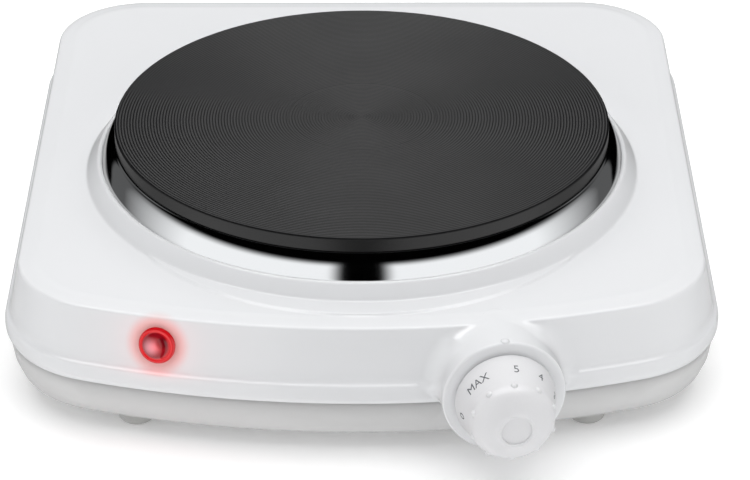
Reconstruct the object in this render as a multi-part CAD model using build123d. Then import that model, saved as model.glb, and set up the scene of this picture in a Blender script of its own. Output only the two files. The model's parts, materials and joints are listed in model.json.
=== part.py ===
from build123d import *
import os
from math import asin, atan2, cos, degrees, radians, sin, sqrt, tan

os.makedirs("parts", exist_ok=True)

# ---------------------------------------------------------------------------
# Hot plate burner: one cast-iron plate on a pressed steel housing.
# Millimetres. The plate's axis is the Z axis, z = 0 is the table,
# the knob and the pilot lamp are on the front, which faces -Y.
# ---------------------------------------------------------------------------

# Overall body outline, at the deck edge (offset 0)
BODY_WIDTH = 247.0
BODY_FRONT = 118.4          # plate axis to the middle of the bowed front
BODY_BACK = 144.3           # plate axis to the straight back
FRONT_BOW_R = 316.0         # radius of the bowed front
FRONT_CORNER_R = 37.0
BACK_CORNER_R = 34.0

# Heights
FOOT_HEIGHT = 6.0           # table to the bottom of the base pan
SEAM_HEIGHT = 15.5          # base pan bottom to the housing's lower edge
APRON_HEIGHT = 28.5         # housing's lower edge to the flat deck
PLATE_RISE = 20.0           # deck to the top of the hot plate
SHEET = 1.2                 # pressed steel sheet of the housing
PAN_SHEET = 1.0             # sheet of the base pan
FIT = 0.4                   # loose gap between the two shells

# Housing profile
EDGE_BEVEL = 5.6            # width of the slightly sloping band at the deck edge
EDGE_DROP = 0.85            # how far that band falls
EDGE_R = 1.5                # rounding from the band to the apron
APRON_FLARE = 3.4           # how far the apron runs out above the flange
APRON_FOOT = 9.3            # lower edge to the foot of the apron
LEAN_START = 2.2            # deck to where the apron starts to lean
FLANGE_OUT = 5.7            # widest part of the rolled lower flange
FLANGE_IN = 0.8             # how far the flange rolls back in at its lower edge
PAN_STEP = 1.3              # lower edge down to the base pan's step
PAN_TUCK = 5.0              # how far the pan's rim reaches up inside the housing

# Hot plate, trim ring and their seat
PLATE_R = 92.5
PLATE_RIM = 5.6             # height of the plate's visible side
PLATE_SKIRT_R = PLATE_R - 3.0               # plate below the trim ring
PLATE_DEPTH = 16.0
PLATE_CHAMFER = 0.8
OPENING_R = PLATE_R + 5.1   # opening in the raised seat, with room for the ring
HUMP_TOP_R = OPENING_R + 1.7                # raised seat round the opening
HUMP_FOOT_R = HUMP_TOP_R + 3.7
HUMP_RISE = 5.6
SEAT_R = OPENING_R - 6.6    # opening in the seat ledge
SEAT_DROP = 2.7             # hump top to the ledge
PAD_RISE = 0.8              # crescent pad in front of the hump
PAD_R = PLATE_R - 0.5
PAD_SHIFT = 19.6
RING_SHEET = 0.8
RING_GAP = 0.4              # trim ring to the plate and to the opening
RING_LIP = 0.3              # how far the ring reaches under the plate's rim
RING_LOW = 0.6              # where the ring's dome ends, above the hump
RING_FOOT = 3.7             # width of the ring's foot on the ledge
GROOVE_RADII = (PLATE_R - 54.5, PLATE_R - 36.5, PLATE_R - 18.5)
GROOVE_WIDTH = 8.0
GROOVE_DEPTH = 8.0
COIL_R = 2.6

# Clamp under the plate
STUD_R = 3.0
STUD_LENGTH = 29.0
STUD_ENGAGE = 8.0
BRIDGE_WIDTH = 22.0
BRIDGE_SHEET = 2.0
BRIDGE_DROP = 9.1           # ledge's underside to the top of the bridge's middle
SHIELD_SHEET = 0.6
SHIELD_R = SEAT_R - 3.0
SHIELD_DEPTH = 9.0
BRIDGE_GAP = 0.5            # shield to the bridge's legs
BRIDGE_TOE = 4.0            # how far the bridge's toes reach under the ledge
COVER_SHEET = 0.8
COVER_R = PLATE_SKIRT_R - 3.5
CERAMIC_HEIGHT = 7.0
CERAMIC_WIDTH = 12.0
CERAMIC_END = 6.0           # outer pin to the end of the ceramic block
WINDOW_GAP = 2.0            # ceramic block to the window in the shield
PIN_REACH = 6.2             # how far the pins stand out of the ceramic block
WASHER = 1.5
WASHER_R = 8.0
NUT_FLATS = 10.0
NUT_HEIGHT = 5.0
BORE_GAP = 0.1              # loose hole round a part that drops into it

# Control knob, on an axis square to the bowed front
KNOB_X = 47.2               # where the knob's axis meets the deck edge
KNOB_OUT = 14.2             # deck edge to the collar face, along the knob axis
COLLAR_R = 21.7
COLLAR_DROP = 0.3           # deck down to the top of the collar
COLLAR_FACE = 1.5
COLLAR_LENGTH = 40.0        # collar before it is trimmed by the housing
POINTER_SIZE = (3.0, 1.0, 2.4)
POINTER_RISE = 0.6          # collar's wall to the top of the pointer
POINTER_BACK = 1.4          # collar's face to the middle of the pointer
KNOB_SKIRT_R = 17.6
KNOB_GAP = 0.8              # collar face to the knob
KNOB_SHOULDER_R = 14.9
KNOB_SHOULDER = 13.5
KNOB_LENGTH = 22.5          # collar face to the knob's nose
KNOB_WALL = 2.0
KNOB_SKIRT = 3.0            # where the dial's cone starts
CAP_R = 5.2
CAP_SUNK = 0.7
GRIP_BUMPS = 10
BUMP_R = 1.3
BUMP_IN = 0.7               # shoulder's radius to the circle of bumps
BUMP_UP = 2.2               # shoulder to the middle of the bumps
HUB_START = 2.6             # knob's open end to the end of its hub
HUB_WEB = 0.4               # spindle's tip to the top of the hub
SPINDLE_R = 3.0
SPINDLE_RUN = 0.05          # running clearance of spindle and pin
SPINDLE_LENGTH = 22.0
SPINDLE_BACK = 7.9
BUSH_R = 5.0
BUSH_NUT_FLATS = 14.0
BUSH_NUT_HEIGHT = 2.0
HUB_R = 5.5
PIN_R = 1.5
PIN_TRAVEL_OUT = 1.2        # most the push pin moves towards the knob
PIN_GAP = 0.5               # push pin to the moving blade
PIN_TOP = -3.0
PIN_ROOM = 0.6              # room left over the pin at the end of its travel
CLIP_SHEET = 0.7
CLIP_LOW = 6.0
CLIP_HIGH = 9.0

# Thermostat stack, behind the collar face
STACK_DROP = 10.5           # knob axis down to the stack's rivet
INSULATOR_R = 4.5
INSULATORS = (4.0, 3.0, 3.0)
BLADE_SHEET = 0.5
BIMETAL_SHEET = 1.0
BLADE_WIDTH = 7.0
RIVET_R = 1.6
RIVET_HEAD_R = 2.8
RIVET_HEAD = 1.2
CONTACT_R = 1.6
CONTACT_Y = 9.0
BLADE_END = 12.0
BLADE_TAIL = 4.0            # rivet to the lower end of the blades
TAB_SIZE = (12.0, 4.8, BLADE_SHEET)
BUSH_FLANGE = 2.0
BUSH_FLANGE_R = 7.0
FRAME_SHEET = 1.2
FRAME_WIDTH = 24.0
FRAME_TAIL = 5.0            # rivet to the lower end of the frame

# Pilot lamp
LAMP_X = -70.7
LAMP_BELOW_DECK = 11.0
LENS_R = 6.6
LENS_STEM_R = 4.9
LENS_DOME = 2.6
LENS_WALL = 0.9
LENS_STEM = 7.0
LAMP_OVERLAP = 3.0          # how far the lamp's tube goes into the lens
LAMP_TUBE_LENGTH = 20.0
BULB_R = 2.2
BULB_BACK = -15.0
BULB_FRONT = -5.0
RESISTOR_R = 1.2
RESISTOR_LENGTH = 7.0
RETAINER_WIDTH = 3.0
RETAINER_SHEET = 0.7
RETAINER_BACK = -3.0
LAMP_LEAD_X = 1.3           # lamp's axis to each of its two leads

# Feet, posts and mains entry
FOOT_X = 80.5
FOOT_FRONT = 97.7
FOOT_BACK = 118.0
FOOT_R = 6.4
RECESS = 3.4                # screw recess in each foot
POST_R = 5.0
SCREW_R = 2.0
SCREW_HEAD_R = 3.5
SCREW_HEAD_HEIGHT = 2.2
SCREW_LENGTH = 19.0
GLAND_X = -45.0
GLAND_RISE = 7.5            # base pan bottom to the cord's axis
GLAND_BORE_R = 3.7
GLAND_R = 5.6
GLAND_FLANGE_R = 7.0
GLAND_REACH = 7.7           # deck edge to the gland's outer end
BLOCK_SIZE = (32.0, 16.0, 13.0)
BLOCK_Y = 108.0
BLOCK_PITCH = 10.0
SLEEVE_R = 2.8
SLEEVE_BORE_R = 1.9
CLAMP_SCREW_R = 1.3
CLAMP_HEAD_R = 2.2
CLAMP_HEAD = 1.2
EARTH_X = 36.0
EARTH_Y = 84.0
EARTH_HEAD = 1.8
TAG_SHEET = 0.8
TAG_LENGTH = 16.0
TAG_WIDTH = 8.0
TAG_HEIGHT = 10.0
TAG_SHIFT = 3.0             # earth screw to the middle of the tag
LEAD_R = 1.5
LAMP_LEAD_R = 0.9
TERMINAL_PITCH = 12.0
TERMINAL_Y = 46.0
TERMINAL_R = 1.3
END_GAP = 0.4               # a lead's end to the tab or pin that it is joined to
BEND = 0.45                 # share of the shorter run that an arc may use

# Vents in the base pan
VENT_LENGTH = 30.0
VENT_WIDTH = 3.5
VENT_PITCH = 9.0
VENT_START = 22.0
VENT_COUNT = 5
VENT_Y = -40.0

WIDE = 400.0                # wider than the whole object
FAR = 40.0                  # long enough to cut right through

# ---- worked out from the above -------------------------------------------
PAN_Z = FOOT_HEIGHT
SEAM_Z = PAN_Z + SEAM_HEIGHT
DECK_Z = SEAM_Z + APRON_HEIGHT
PLATE_Z = DECK_Z + PLATE_RISE
HUMP_Z = DECK_Z + PAD_RISE + HUMP_RISE
LEDGE_Z = HUMP_Z - SEAT_DROP
PLATE_BOTTOM = PLATE_Z - PLATE_DEPTH
HALF_WIDTH = BODY_WIDTH / 2
BOW_CENTRE_Y = FRONT_BOW_R - BODY_FRONT
PAN_RIM = FLANGE_OUT - SHEET - FLANGE_IN - FIT      # base pan's rim, tucked inside the flange
COVER_Z = PLATE_BOTTOM - COVER_SHEET
PIN_BOTTOM = COVER_Z - CERAMIC_HEIGHT - PIN_REACH
TERMINAL_X = (-TERMINAL_PITCH, 0.0, TERMINAL_PITCH)
BRIDGE_TOP = LEDGE_Z - SHEET - BRIDGE_DROP
STUD_TOP = PLATE_BOTTOM + STUD_ENGAGE
WASHER_TOP = BRIDGE_TOP - BRIDGE_SHEET
KNOB_Z = DECK_Z - COLLAR_DROP - COLLAR_R
SPINDLE_TIP = SPINDLE_LENGTH - SPINDLE_BACK
HUB_TOP = SPINDLE_TIP + HUB_WEB
FRAME_FRONT = -COLLAR_FACE - BUSH_FLANGE
STACK_TOP = FRAME_FRONT - FRAME_SHEET
BLADE_1 = STACK_TOP - INSULATORS[0]
BLADE_2 = BLADE_1 - BLADE_SHEET - INSULATORS[1]
BIMETAL_TOP = BLADE_2 - BLADE_SHEET - INSULATORS[2]
CONTACT_FACE = (BLADE_1 - BLADE_SHEET + BLADE_2) / 2
PIN_TIP = BLADE_2 + PIN_GAP
LAMP_TUBE_R = LENS_STEM_R - LENS_WALL
LAMP_TUBE_TOP = LAMP_OVERLAP - LENS_STEM
LAMP_END = LAMP_TUBE_TOP - LAMP_TUBE_LENGTH - END_GAP
GLAND_Z = PAN_Z + GLAND_RISE
PAN_FLOOR = PAN_Z + PAN_SHEET
BLOCK_WIRE_Z = PAN_FLOOR + BLOCK_SIZE[2] / 2
SLEEVE_X = [GLAND_X + BLOCK_PITCH * step for step in (-1, 0, 1)]
TAG_X = EARTH_X - TAG_SHIFT
TAG_FACE_X = TAG_X - TAG_LENGTH / 2


def square_to_front(x, out, z, tilt=0.0):
    """A plane on the bowed front at x, `out` beyond the deck edge, facing outwards."""
    turn = asin(x / FRONT_BOW_R)
    reach = FRONT_BOW_R + out
    origin = (reach * sin(turn), BOW_CENTRE_Y - reach * cos(turn), z)
    facing = (sin(turn) * cos(tilt), -cos(turn) * cos(tilt), sin(tilt))
    return Plane(origin=origin, x_dir=(cos(turn), sin(turn), 0), z_dir=facing)


KNOB = square_to_front(KNOB_X, KNOB_OUT, KNOB_Z)
GLAND = Plane(origin=(GLAND_X, BODY_BACK, GLAND_Z), x_dir=(-1, 0, 0), z_dir=(0, 1, 0))


def outline(offset, z):
    """The body's outline, offset outwards, as a flat face at height z."""
    half = HALF_WIDTH + offset
    bow = FRONT_BOW_R + offset
    corner = FRONT_CORNER_R + offset
    back = BODY_BACK + offset
    round_back = BACK_CORNER_R + offset
    corner_x = half - corner
    corner_y = BOW_CENTRE_Y - sqrt((bow - corner) ** 2 - corner_x ** 2)
    turn = degrees(atan2(corner_x, BOW_CENTRE_Y - corner_y))
    back_x = half - round_back
    back_y = back - round_back
    edges = [
        CenterArc((0, BOW_CENTRE_Y), bow, 270 - turn, 2 * turn),
        CenterArc((corner_x, corner_y), corner, 270 + turn, 90 - turn),
        Line((half, corner_y), (half, back_y)),
        CenterArc((back_x, back_y), round_back, 0, 90),
        Line((back_x, back), (-back_x, back)),
        CenterArc((-back_x, back_y), round_back, 90, 90),
        Line((-half, back_y), (-half, corner_y)),
        CenterArc((-corner_x, corner_y), corner, 180, 90 - turn),
    ]
    return Pos(0, 0, z) * Face(Wire(edges))


def stack_of_outlines(profile):
    """A solid whose side follows a list of (offset, height) points."""
    return loft([outline(offset, z) for offset, z in profile], ruled=True)


def housing_profile(inset, top_inset):
    """Offsets and heights of the housing's side, from the deck down to its lower edge."""
    edge = [(-EDGE_BEVEL - EDGE_R, 0.0), (-EDGE_R, -EDGE_DROP)]
    for step in (25, 50, 75):
        along = EDGE_R * sin(radians(step))
        down = EDGE_R * (1 - cos(radians(step)))
        edge.append((-EDGE_R + along, -EDGE_DROP - down))
    flange = [
        (APRON_FLARE, APRON_FOOT), (APRON_FLARE + 1.0, APRON_FOOT - 1.2),
        (FLANGE_OUT - 0.5, APRON_FOOT - 2.5), (FLANGE_OUT, APRON_FOOT - 4.4),
        (FLANGE_OUT, 2.5), (FLANGE_OUT - 0.4, 0.9),
    ]
    side = [(offset - inset, DECK_Z + drop - top_inset) for offset, drop in edge]
    side += [(offset - inset, SEAM_Z + height) for offset, height in flange]
    return side


def housing_outside():
    """The housing's outer volume, closed at the lower edge."""
    profile = housing_profile(0.0, 0.0)
    profile.append((FLANGE_OUT - 1.0, SEAM_Z))
    return stack_of_outlines(profile)


def housing_inside():
    """The space inside the housing's sheet, open downwards."""
    profile = housing_profile(SHEET, SHEET)
    profile.append((FLANGE_OUT - SHEET - FLANGE_IN, SEAM_Z - 1))
    return stack_of_outlines(profile)


def pan_outside(grow=0.0, low=0.0):
    """The base pan's outer volume: a tub that tapers down to its rounded bottom."""
    step_z = SEAM_Z - PAN_STEP
    profile = [
        (PAN_RIM + grow, SEAM_Z + PAN_TUCK), (PAN_RIM + grow, step_z + 0.4),
        (PAN_RIM + 0.9 + grow, step_z), (PAN_RIM - 0.3 + grow, PAN_Z + 6.5),
        (PAN_RIM - 2.2 + grow, PAN_Z + 1.8), (PAN_RIM - 3.2 + grow, PAN_Z + 0.5),
        (PAN_RIM - 4.6 + grow, PAN_Z + low),
    ]
    return stack_of_outlines(profile)


def drum(radius, low, high):
    """A plain vertical cylinder between two heights."""
    return Pos(0, 0, low) * Cylinder(radius, high - low, align=(Align.CENTER, Align.CENTER, Align.MIN))


def tube(outer, inner, low, high):
    """A vertical tube between two heights."""
    return drum(outer, low, high) - drum(inner, low - 1, high + 1)


def turned(points):
    """A solid of revolution about Z from (radius, height) points."""
    wire = Polyline([(r, 0, z) for r, z in points], close=True)
    return revolve(make_face(wire), Axis.Z)


def pattern_of_feet():
    """Name and place of each foot."""
    return {
        "front_left": (-FOOT_X, -FOOT_FRONT), "front_right": (FOOT_X, -FOOT_FRONT),
        "rear_left": (-FOOT_X, FOOT_BACK), "rear_right": (FOOT_X, FOOT_BACK),
    }


def lamp_plane():
    """The lamp's plane on the apron: outwards along the lamp's axis."""
    slope = APRON_HEIGHT - APRON_FOOT
    share = LAMP_BELOW_DECK / slope
    tilt = atan2(APRON_FLARE, slope - LEAN_START)
    return square_to_front(LAMP_X, APRON_FLARE * share, DECK_Z - LAMP_BELOW_DECK, tilt)


LAMP = lamp_plane()


def hump():
    """The raised seat round the plate, before its opening is cut."""
    foot = DECK_Z - SHEET / 2
    cone = turned([
        (0, foot), (HUMP_FOOT_R + 0.5, foot), (HUMP_FOOT_R, DECK_Z + PAD_RISE),
        (HUMP_TOP_R + 0.2, HUMP_Z - 0.7), (HUMP_TOP_R - 0.5, HUMP_Z), (0, HUMP_Z),
    ])
    pad = Pos(0, -PAD_SHIFT, 0) * drum(PAD_R, foot, DECK_Z + PAD_RISE)
    return cone + pad


def hump_inside():
    """The space under the raised seat, outside the ledge's wall."""
    return turned([
        (OPENING_R + SHEET, DECK_Z - 2 * SHEET), (HUMP_FOOT_R - SHEET, DECK_Z - 2 * SHEET),
        (HUMP_FOOT_R - SHEET, DECK_Z + PAD_RISE - SHEET), (HUMP_TOP_R - SHEET, HUMP_Z - SHEET),
        (OPENING_R + SHEET, HUMP_Z - SHEET),
    ])


def make_top_housing():
    """Pressed steel housing: deck, raised seat with a ledge, apron, flange and knob collar."""
    collar = KNOB.location * extrude(Circle(COLLAR_R), -COLLAR_LENGTH)
    hollow = extrude(Circle(COLLAR_R - SHEET), -COLLAR_LENGTH)
    collar_hollow = KNOB.location * Pos(0, 0, -COLLAR_FACE) * hollow
    reach = drum(WIDE, PAN_Z - 1, DECK_Z + COLLAR_DROP)
    inside = housing_inside()
    shell = housing_outside() + hump() + (collar & reach)
    shell = shell - inside - collar_hollow - pan_outside(FIT)
    shell = shell - drum(OPENING_R, LEDGE_Z, PLATE_Z)
    shell = shell - drum(OPENING_R + SHEET, PAN_Z, LEDGE_Z - SHEET)
    shell = shell + tube(OPENING_R + SHEET, SEAT_R, LEDGE_Z - SHEET, LEDGE_Z)
    shell = shell + tube(OPENING_R + SHEET, OPENING_R, LEDGE_Z - SHEET, HUMP_Z - SHEET)
    shell = shell - drum(SEAT_R, PAN_Z, PLATE_Z) - hump_inside()
    shell = shell - KNOB.location * extrude(Circle(BUSH_R + BORE_GAP), 5, both=True)
    shell = shell - LAMP.location * extrude(Circle(LENS_STEM_R + BORE_GAP), 8, both=True)
    pointer_y = COLLAR_R + POINTER_RISE - POINTER_SIZE[1] / 2
    return shell + KNOB.location * Pos(0, pointer_y, -POINTER_BACK) * Box(*POINTER_SIZE)


def make_base_pan():
    """Base pan: a tub with vent slots, a cord hole, foot holes and a notch for the knob's collar."""
    hollow = [
        (PAN_RIM - PAN_SHEET, SEAM_Z + PAN_TUCK + 1), (PAN_RIM - PAN_SHEET, SEAM_Z - PAN_STEP),
        (PAN_RIM - 0.3 - PAN_SHEET, PAN_Z + 6.5), (PAN_RIM - 2.2 - PAN_SHEET, PAN_Z + 2.2),
        (PAN_RIM - 4.4 - PAN_SHEET, PAN_Z + PAN_SHEET),
    ]
    pan = pan_outside() - stack_of_outlines(hollow)
    pan = pan - KNOB.location * extrude(Circle(COLLAR_R - SHEET), -1.5 * COLLAR_LENGTH)
    pan = pan - GLAND.location * extrude(Circle(GLAND_R + BORE_GAP), FAR, both=True)
    pan = pan - Pos(EARTH_X, EARTH_Y, PAN_Z) * Cylinder(SCREW_R, 6)
    for x, y in pattern_of_feet().values():
        pan = pan - Pos(x, y, PAN_Z) * Cylinder(SCREW_R + 0.2, 6)
    slot = Pos(0, 0, PAN_Z) * extrude(SlotOverall(VENT_LENGTH, VENT_WIDTH, rotation=90), 4, both=True)
    for side in (-1, 1):
        for step in range(VENT_COUNT):
            pan = pan - Pos(side * (VENT_START + step * VENT_PITCH), VENT_Y, 0) * slot
    return pan


def make_hot_plate():
    """Cast-iron plate: flat top, skirt, heater grooves and a tapped boss hole underneath."""
    plate = turned([
        (0, PLATE_Z), (PLATE_R - PLATE_CHAMFER, PLATE_Z), (PLATE_R, PLATE_Z - PLATE_CHAMFER),
        (PLATE_R, PLATE_Z - PLATE_RIM), (PLATE_SKIRT_R, PLATE_Z - PLATE_RIM),
        (PLATE_SKIRT_R, PLATE_BOTTOM), (0, PLATE_BOTTOM),
    ])
    for radius in GROOVE_RADII:
        plate = plate - groove(radius)
    return plate - drum(STUD_R, PLATE_BOTTOM, PLATE_BOTTOM + STUD_ENGAGE)


def groove(radius):
    """The space of one heater groove in the plate's underside."""
    half = GROOVE_WIDTH / 2
    return tube(radius + half, radius - half, PLATE_BOTTOM, PLATE_BOTTOM + GROOVE_DEPTH)


def coil(radius):
    """One heating coil, as the ring-shaped envelope of its windings."""
    return Pos(0, 0, PLATE_BOTTOM + GROOVE_DEPTH / 2) * Torus(radius, COIL_R)


def make_magnesia():
    """Insulating filler that packs each groove round its coil."""
    return Compound(children=[(groove(radius) - coil(radius)).solid() for radius in GROOVE_RADII])


def make_trim_ring():
    """Domed overflow ring: it hangs from the plate's rim and stands on the seat ledge."""
    top = PLATE_Z - PLATE_RIM
    outer = OPENING_R - RING_GAP
    low = HUMP_Z + RING_LOW
    start = PLATE_R - RING_LIP
    rise = top - low
    reach = outer - start
    turns = [radians(15 * step) for step in range(7)]
    skin = [(start + reach * sin(a), low + rise * cos(a)) for a in turns]
    under = [
        (start + (reach - RING_SHEET) * sin(a), low + (rise - RING_SHEET) * cos(a))
        for a in reversed(turns)
    ]
    foot = [
        (outer, LEDGE_Z), (outer - RING_FOOT, LEDGE_Z), (outer - RING_FOOT, LEDGE_Z + RING_SHEET),
        (outer - RING_SHEET, LEDGE_Z + RING_SHEET),
    ]
    hem = PLATE_SKIRT_R + RING_GAP
    return turned([(hem, top)] + skin + foot + under + [(hem, top - RING_SHEET)])


def terminal_holes(radius):
    """Three upright cylinders on the plate's terminal positions."""
    shape = drum(radius, PIN_BOTTOM, PLATE_BOTTOM)
    return [Pos(x, TERMINAL_Y, 0) * shape for x in TERMINAL_X]


def make_plate_cover():
    """Sheet disc that closes the heater grooves."""
    disc = tube(COVER_R, STUD_R + 0.5, COVER_Z, PLATE_BOTTOM)
    return disc - terminal_holes(TERMINAL_R + 0.2)


def make_plate_terminal():
    """Ceramic block under the cover that carries the plate's three pins."""
    size = (2 * (TERMINAL_PITCH + CERAMIC_END), CERAMIC_WIDTH, CERAMIC_HEIGHT)
    block = Pos(0, TERMINAL_Y, COVER_Z - CERAMIC_HEIGHT / 2) * Box(*size)
    return block - terminal_holes(TERMINAL_R)


def make_heat_shield():
    """Shallow pan under the plate that keeps its heat off the wiring."""
    floor = BRIDGE_TOP
    pan = drum(SHIELD_R, floor, floor + SHIELD_DEPTH)
    pan = pan - drum(SHIELD_R - SHIELD_SHEET, floor + SHIELD_SHEET, floor + SHIELD_DEPTH)
    window_length = 2 * (TERMINAL_PITCH + CERAMIC_END + WINDOW_GAP)
    window_width = CERAMIC_WIDTH + 2 * WINDOW_GAP
    window = Pos(0, TERMINAL_Y, floor) * Box(window_length, window_width, 10 * SHIELD_SHEET)
    return pan - window - drum(STUD_R + 0.4, floor - 1, floor + 2)


def make_clamp_bridge():
    """Bridge strap that pulls the plate down by pressing up under the seat ledge."""
    ledge = LEDGE_Z - SHEET
    leg = SHIELD_R + BRIDGE_GAP
    middle = Box(2 * (leg + BRIDGE_SHEET), BRIDGE_WIDTH, BRIDGE_SHEET)
    strap = Pos(0, 0, BRIDGE_TOP - BRIDGE_SHEET / 2) * middle
    strap -= drum(STUD_R + 0.3, BRIDGE_TOP - 5, BRIDGE_TOP + 5)
    rise = ledge - (BRIDGE_TOP - BRIDGE_SHEET)
    for side in (-1, 1):
        upright = Box(BRIDGE_SHEET, BRIDGE_WIDTH, rise)
        strap += Pos(side * (leg + BRIDGE_SHEET / 2), 0, ledge - rise / 2) * upright
        toe = Box(SEAT_R + BRIDGE_TOE - leg, BRIDGE_WIDTH, BRIDGE_SHEET)
        strap += Pos(side * (leg + SEAT_R + BRIDGE_TOE) / 2, 0, ledge - BRIDGE_SHEET / 2) * toe
    return strap


def hexagon(flats, height):
    """A hexagonal prism by its width across flats, standing on z = 0."""
    return extrude(RegularPolygon(flats / 2, 6, major_radius=False), height)


def make_stud_nut():
    """Hexagon nut that clamps plate, shield and bridge together."""
    low = WASHER_TOP - WASHER - NUT_HEIGHT
    return Pos(0, 0, low) * hexagon(NUT_FLATS, NUT_HEIGHT) - drum(STUD_R, low - 1, low + NUT_HEIGHT + 1)


# ---- knob and thermostat, built along the knob's axis ----------------------


def spindle_shape(low, high):
    """Spindle with its flat, between two distances from the collar face."""
    shaft = drum(SPINDLE_R, low, high)
    flat = Pos(SPINDLE_R * 1.75, 0, (high + 5.0) / 2) * Box(2 * SPINDLE_R, 4 * SPINDLE_R, high - 5.0)
    return shaft - flat


def make_control_knob():
    """Hollow knob: dial skirt, grip bumps, domed nose with a sunk cap, and a hub."""
    body = turned([
        (0, KNOB_GAP), (KNOB_SKIRT_R - 0.3, KNOB_GAP), (KNOB_SKIRT_R, KNOB_GAP + 0.3),
        (KNOB_SKIRT_R, KNOB_SKIRT), (KNOB_SHOULDER_R, KNOB_SHOULDER),
        (KNOB_SHOULDER_R - 0.25, KNOB_SHOULDER + 1.1), (KNOB_SHOULDER_R - 0.9, KNOB_SHOULDER + 2.3),
        (KNOB_SHOULDER_R - 1.9, KNOB_SHOULDER + 3.6), (KNOB_SHOULDER_R - 3.5, KNOB_SHOULDER + 5.3),
        (KNOB_SHOULDER_R - 5.5, KNOB_SHOULDER + 6.9), (CAP_R + 1.4, KNOB_LENGTH - 1.0),
        (CAP_R + 1.0, KNOB_LENGTH - 0.2), (CAP_R + 0.6, KNOB_LENGTH), (CAP_R + 0.2, KNOB_LENGTH - 0.1),
        (CAP_R, KNOB_LENGTH - CAP_SUNK), (0, KNOB_LENGTH - CAP_SUNK),
    ])
    skirt_bore = KNOB_SKIRT_R - KNOB_WALL
    shoulder_bore = KNOB_SHOULDER_R - KNOB_WALL
    cavity = turned([
        (0, KNOB_GAP - 1), (skirt_bore, KNOB_GAP - 1), (skirt_bore, KNOB_SKIRT),
        (shoulder_bore, KNOB_SHOULDER - 0.5), (shoulder_bore - 1.0, HUB_TOP), (0, HUB_TOP),
    ])
    knob = body - cavity + drum(HUB_R, KNOB_GAP + HUB_START, HUB_TOP)
    ring = KNOB_SHOULDER_R - BUMP_IN
    for step in range(GRIP_BUMPS):
        angle = radians(90 + 360 / GRIP_BUMPS * step)
        knob += Pos(ring * cos(angle), ring * sin(angle), KNOB_SHOULDER + BUMP_UP) * Sphere(BUMP_R)
    return knob - spindle_shape(-SPINDLE_BACK, SPINDLE_TIP)


def make_knob_clip():
    """Split spring ring that grips the knob's hub."""
    ring = tube(HUB_R + CLIP_SHEET, HUB_R, CLIP_LOW, CLIP_HIGH)
    return ring - Pos(-HUB_R, 0, (CLIP_LOW + CLIP_HIGH) / 2) * Box(6, 5, CLIP_HIGH - CLIP_LOW + 1)


def make_spindle():
    """Thermostat spindle: a shaft with a flat for the knob and a blind bore for the push pin."""
    bore = drum(PIN_R + SPINDLE_RUN, -SPINDLE_BACK - 1, PIN_TOP + PIN_TRAVEL_OUT + PIN_ROOM)
    return spindle_shape(-SPINDLE_BACK, SPINDLE_TIP) - bore


def make_bushing():
    """Threaded bushing that carries the spindle through the collar face."""
    sleeve = drum(BUSH_R, STACK_TOP - 1.6, BUSH_NUT_HEIGHT + 0.6)
    sleeve += drum(BUSH_FLANGE_R, FRAME_FRONT, -COLLAR_FACE)
    return sleeve - drum(SPINDLE_R + SPINDLE_RUN, -20, 20)


def make_bushing_nut():
    """Flat nut that holds the thermostat on the collar face."""
    return hexagon(BUSH_NUT_FLATS, BUSH_NUT_HEIGHT) - drum(BUSH_R, -1, BUSH_NUT_HEIGHT + 1)


def make_thermostat_frame():
    """Steel plate that ties the bushing to the contact stack."""
    low = -STACK_DROP - FRAME_TAIL
    plate = Box(FRAME_WIDTH, BLADE_END - low, FRAME_SHEET)
    plate = Pos(0, (BLADE_END + low) / 2, STACK_TOP + FRAME_SHEET / 2) * plate
    return plate - drum(BUSH_R, -20, 0) - Pos(0, -STACK_DROP, 0) * drum(RIVET_R, -20, 0)


def blade(front, thickness, end):
    """A flat spring strip clamped in the stack, with its front face at `front`."""
    low = -STACK_DROP - BLADE_TAIL
    strip = Pos(0, (end + low) / 2, front - thickness / 2) * Box(BLADE_WIDTH, end - low, thickness)
    return strip - Pos(0, -STACK_DROP, 0) * drum(RIVET_R, -30, 0)


def tab(side, front):
    """A blade's side tab, where its lead is joined."""
    middle = side * (BLADE_WIDTH + TAB_SIZE[0]) / 2
    return Pos(middle, -STACK_DROP, front - BLADE_SHEET / 2) * Box(*TAB_SIZE)


def contact(low, high):
    """A contact button near a blade's free end."""
    return Pos(0, CONTACT_Y, 0) * drum(CONTACT_R, low, high)


def make_fixed_blade():
    """Contact blade next to the bushing, with a hole that the push pin passes."""
    strip = blade(BLADE_1, BLADE_SHEET, BLADE_END) + tab(1, BLADE_1)
    return strip + contact(CONTACT_FACE, BLADE_1 - BLADE_SHEET) - drum(PIN_R + 0.7, -30, 0)


def make_moving_blade():
    """Contact blade that the push pin and the bimetal strip open."""
    return blade(BLADE_2, BLADE_SHEET, BLADE_END) + tab(-1, BLADE_2) + contact(BLADE_2, CONTACT_FACE)


def make_insulators():
    """Ceramic rings between the blades."""
    tops = (STACK_TOP, BLADE_1 - BLADE_SHEET, BLADE_2 - BLADE_SHEET)
    rings = [tube(INSULATOR_R, RIVET_R, top - height, top) for top, height in zip(tops, INSULATORS)]
    return Compound(children=[(Pos(0, -STACK_DROP, 0) * ring).solid() for ring in rings])


def make_stack_rivet():
    """Rivet through the stack."""
    back = BIMETAL_TOP - BIMETAL_SHEET
    rivet = drum(RIVET_R, back, FRAME_FRONT) + drum(RIVET_HEAD_R, back - RIVET_HEAD, back)
    rivet += drum(RIVET_HEAD_R, FRAME_FRONT, FRAME_FRONT + RIVET_HEAD - 0.4)
    return Pos(0, -STACK_DROP, 0) * rivet


# ---- pilot lamp, built along the lamp's axis --------------------------------


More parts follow.
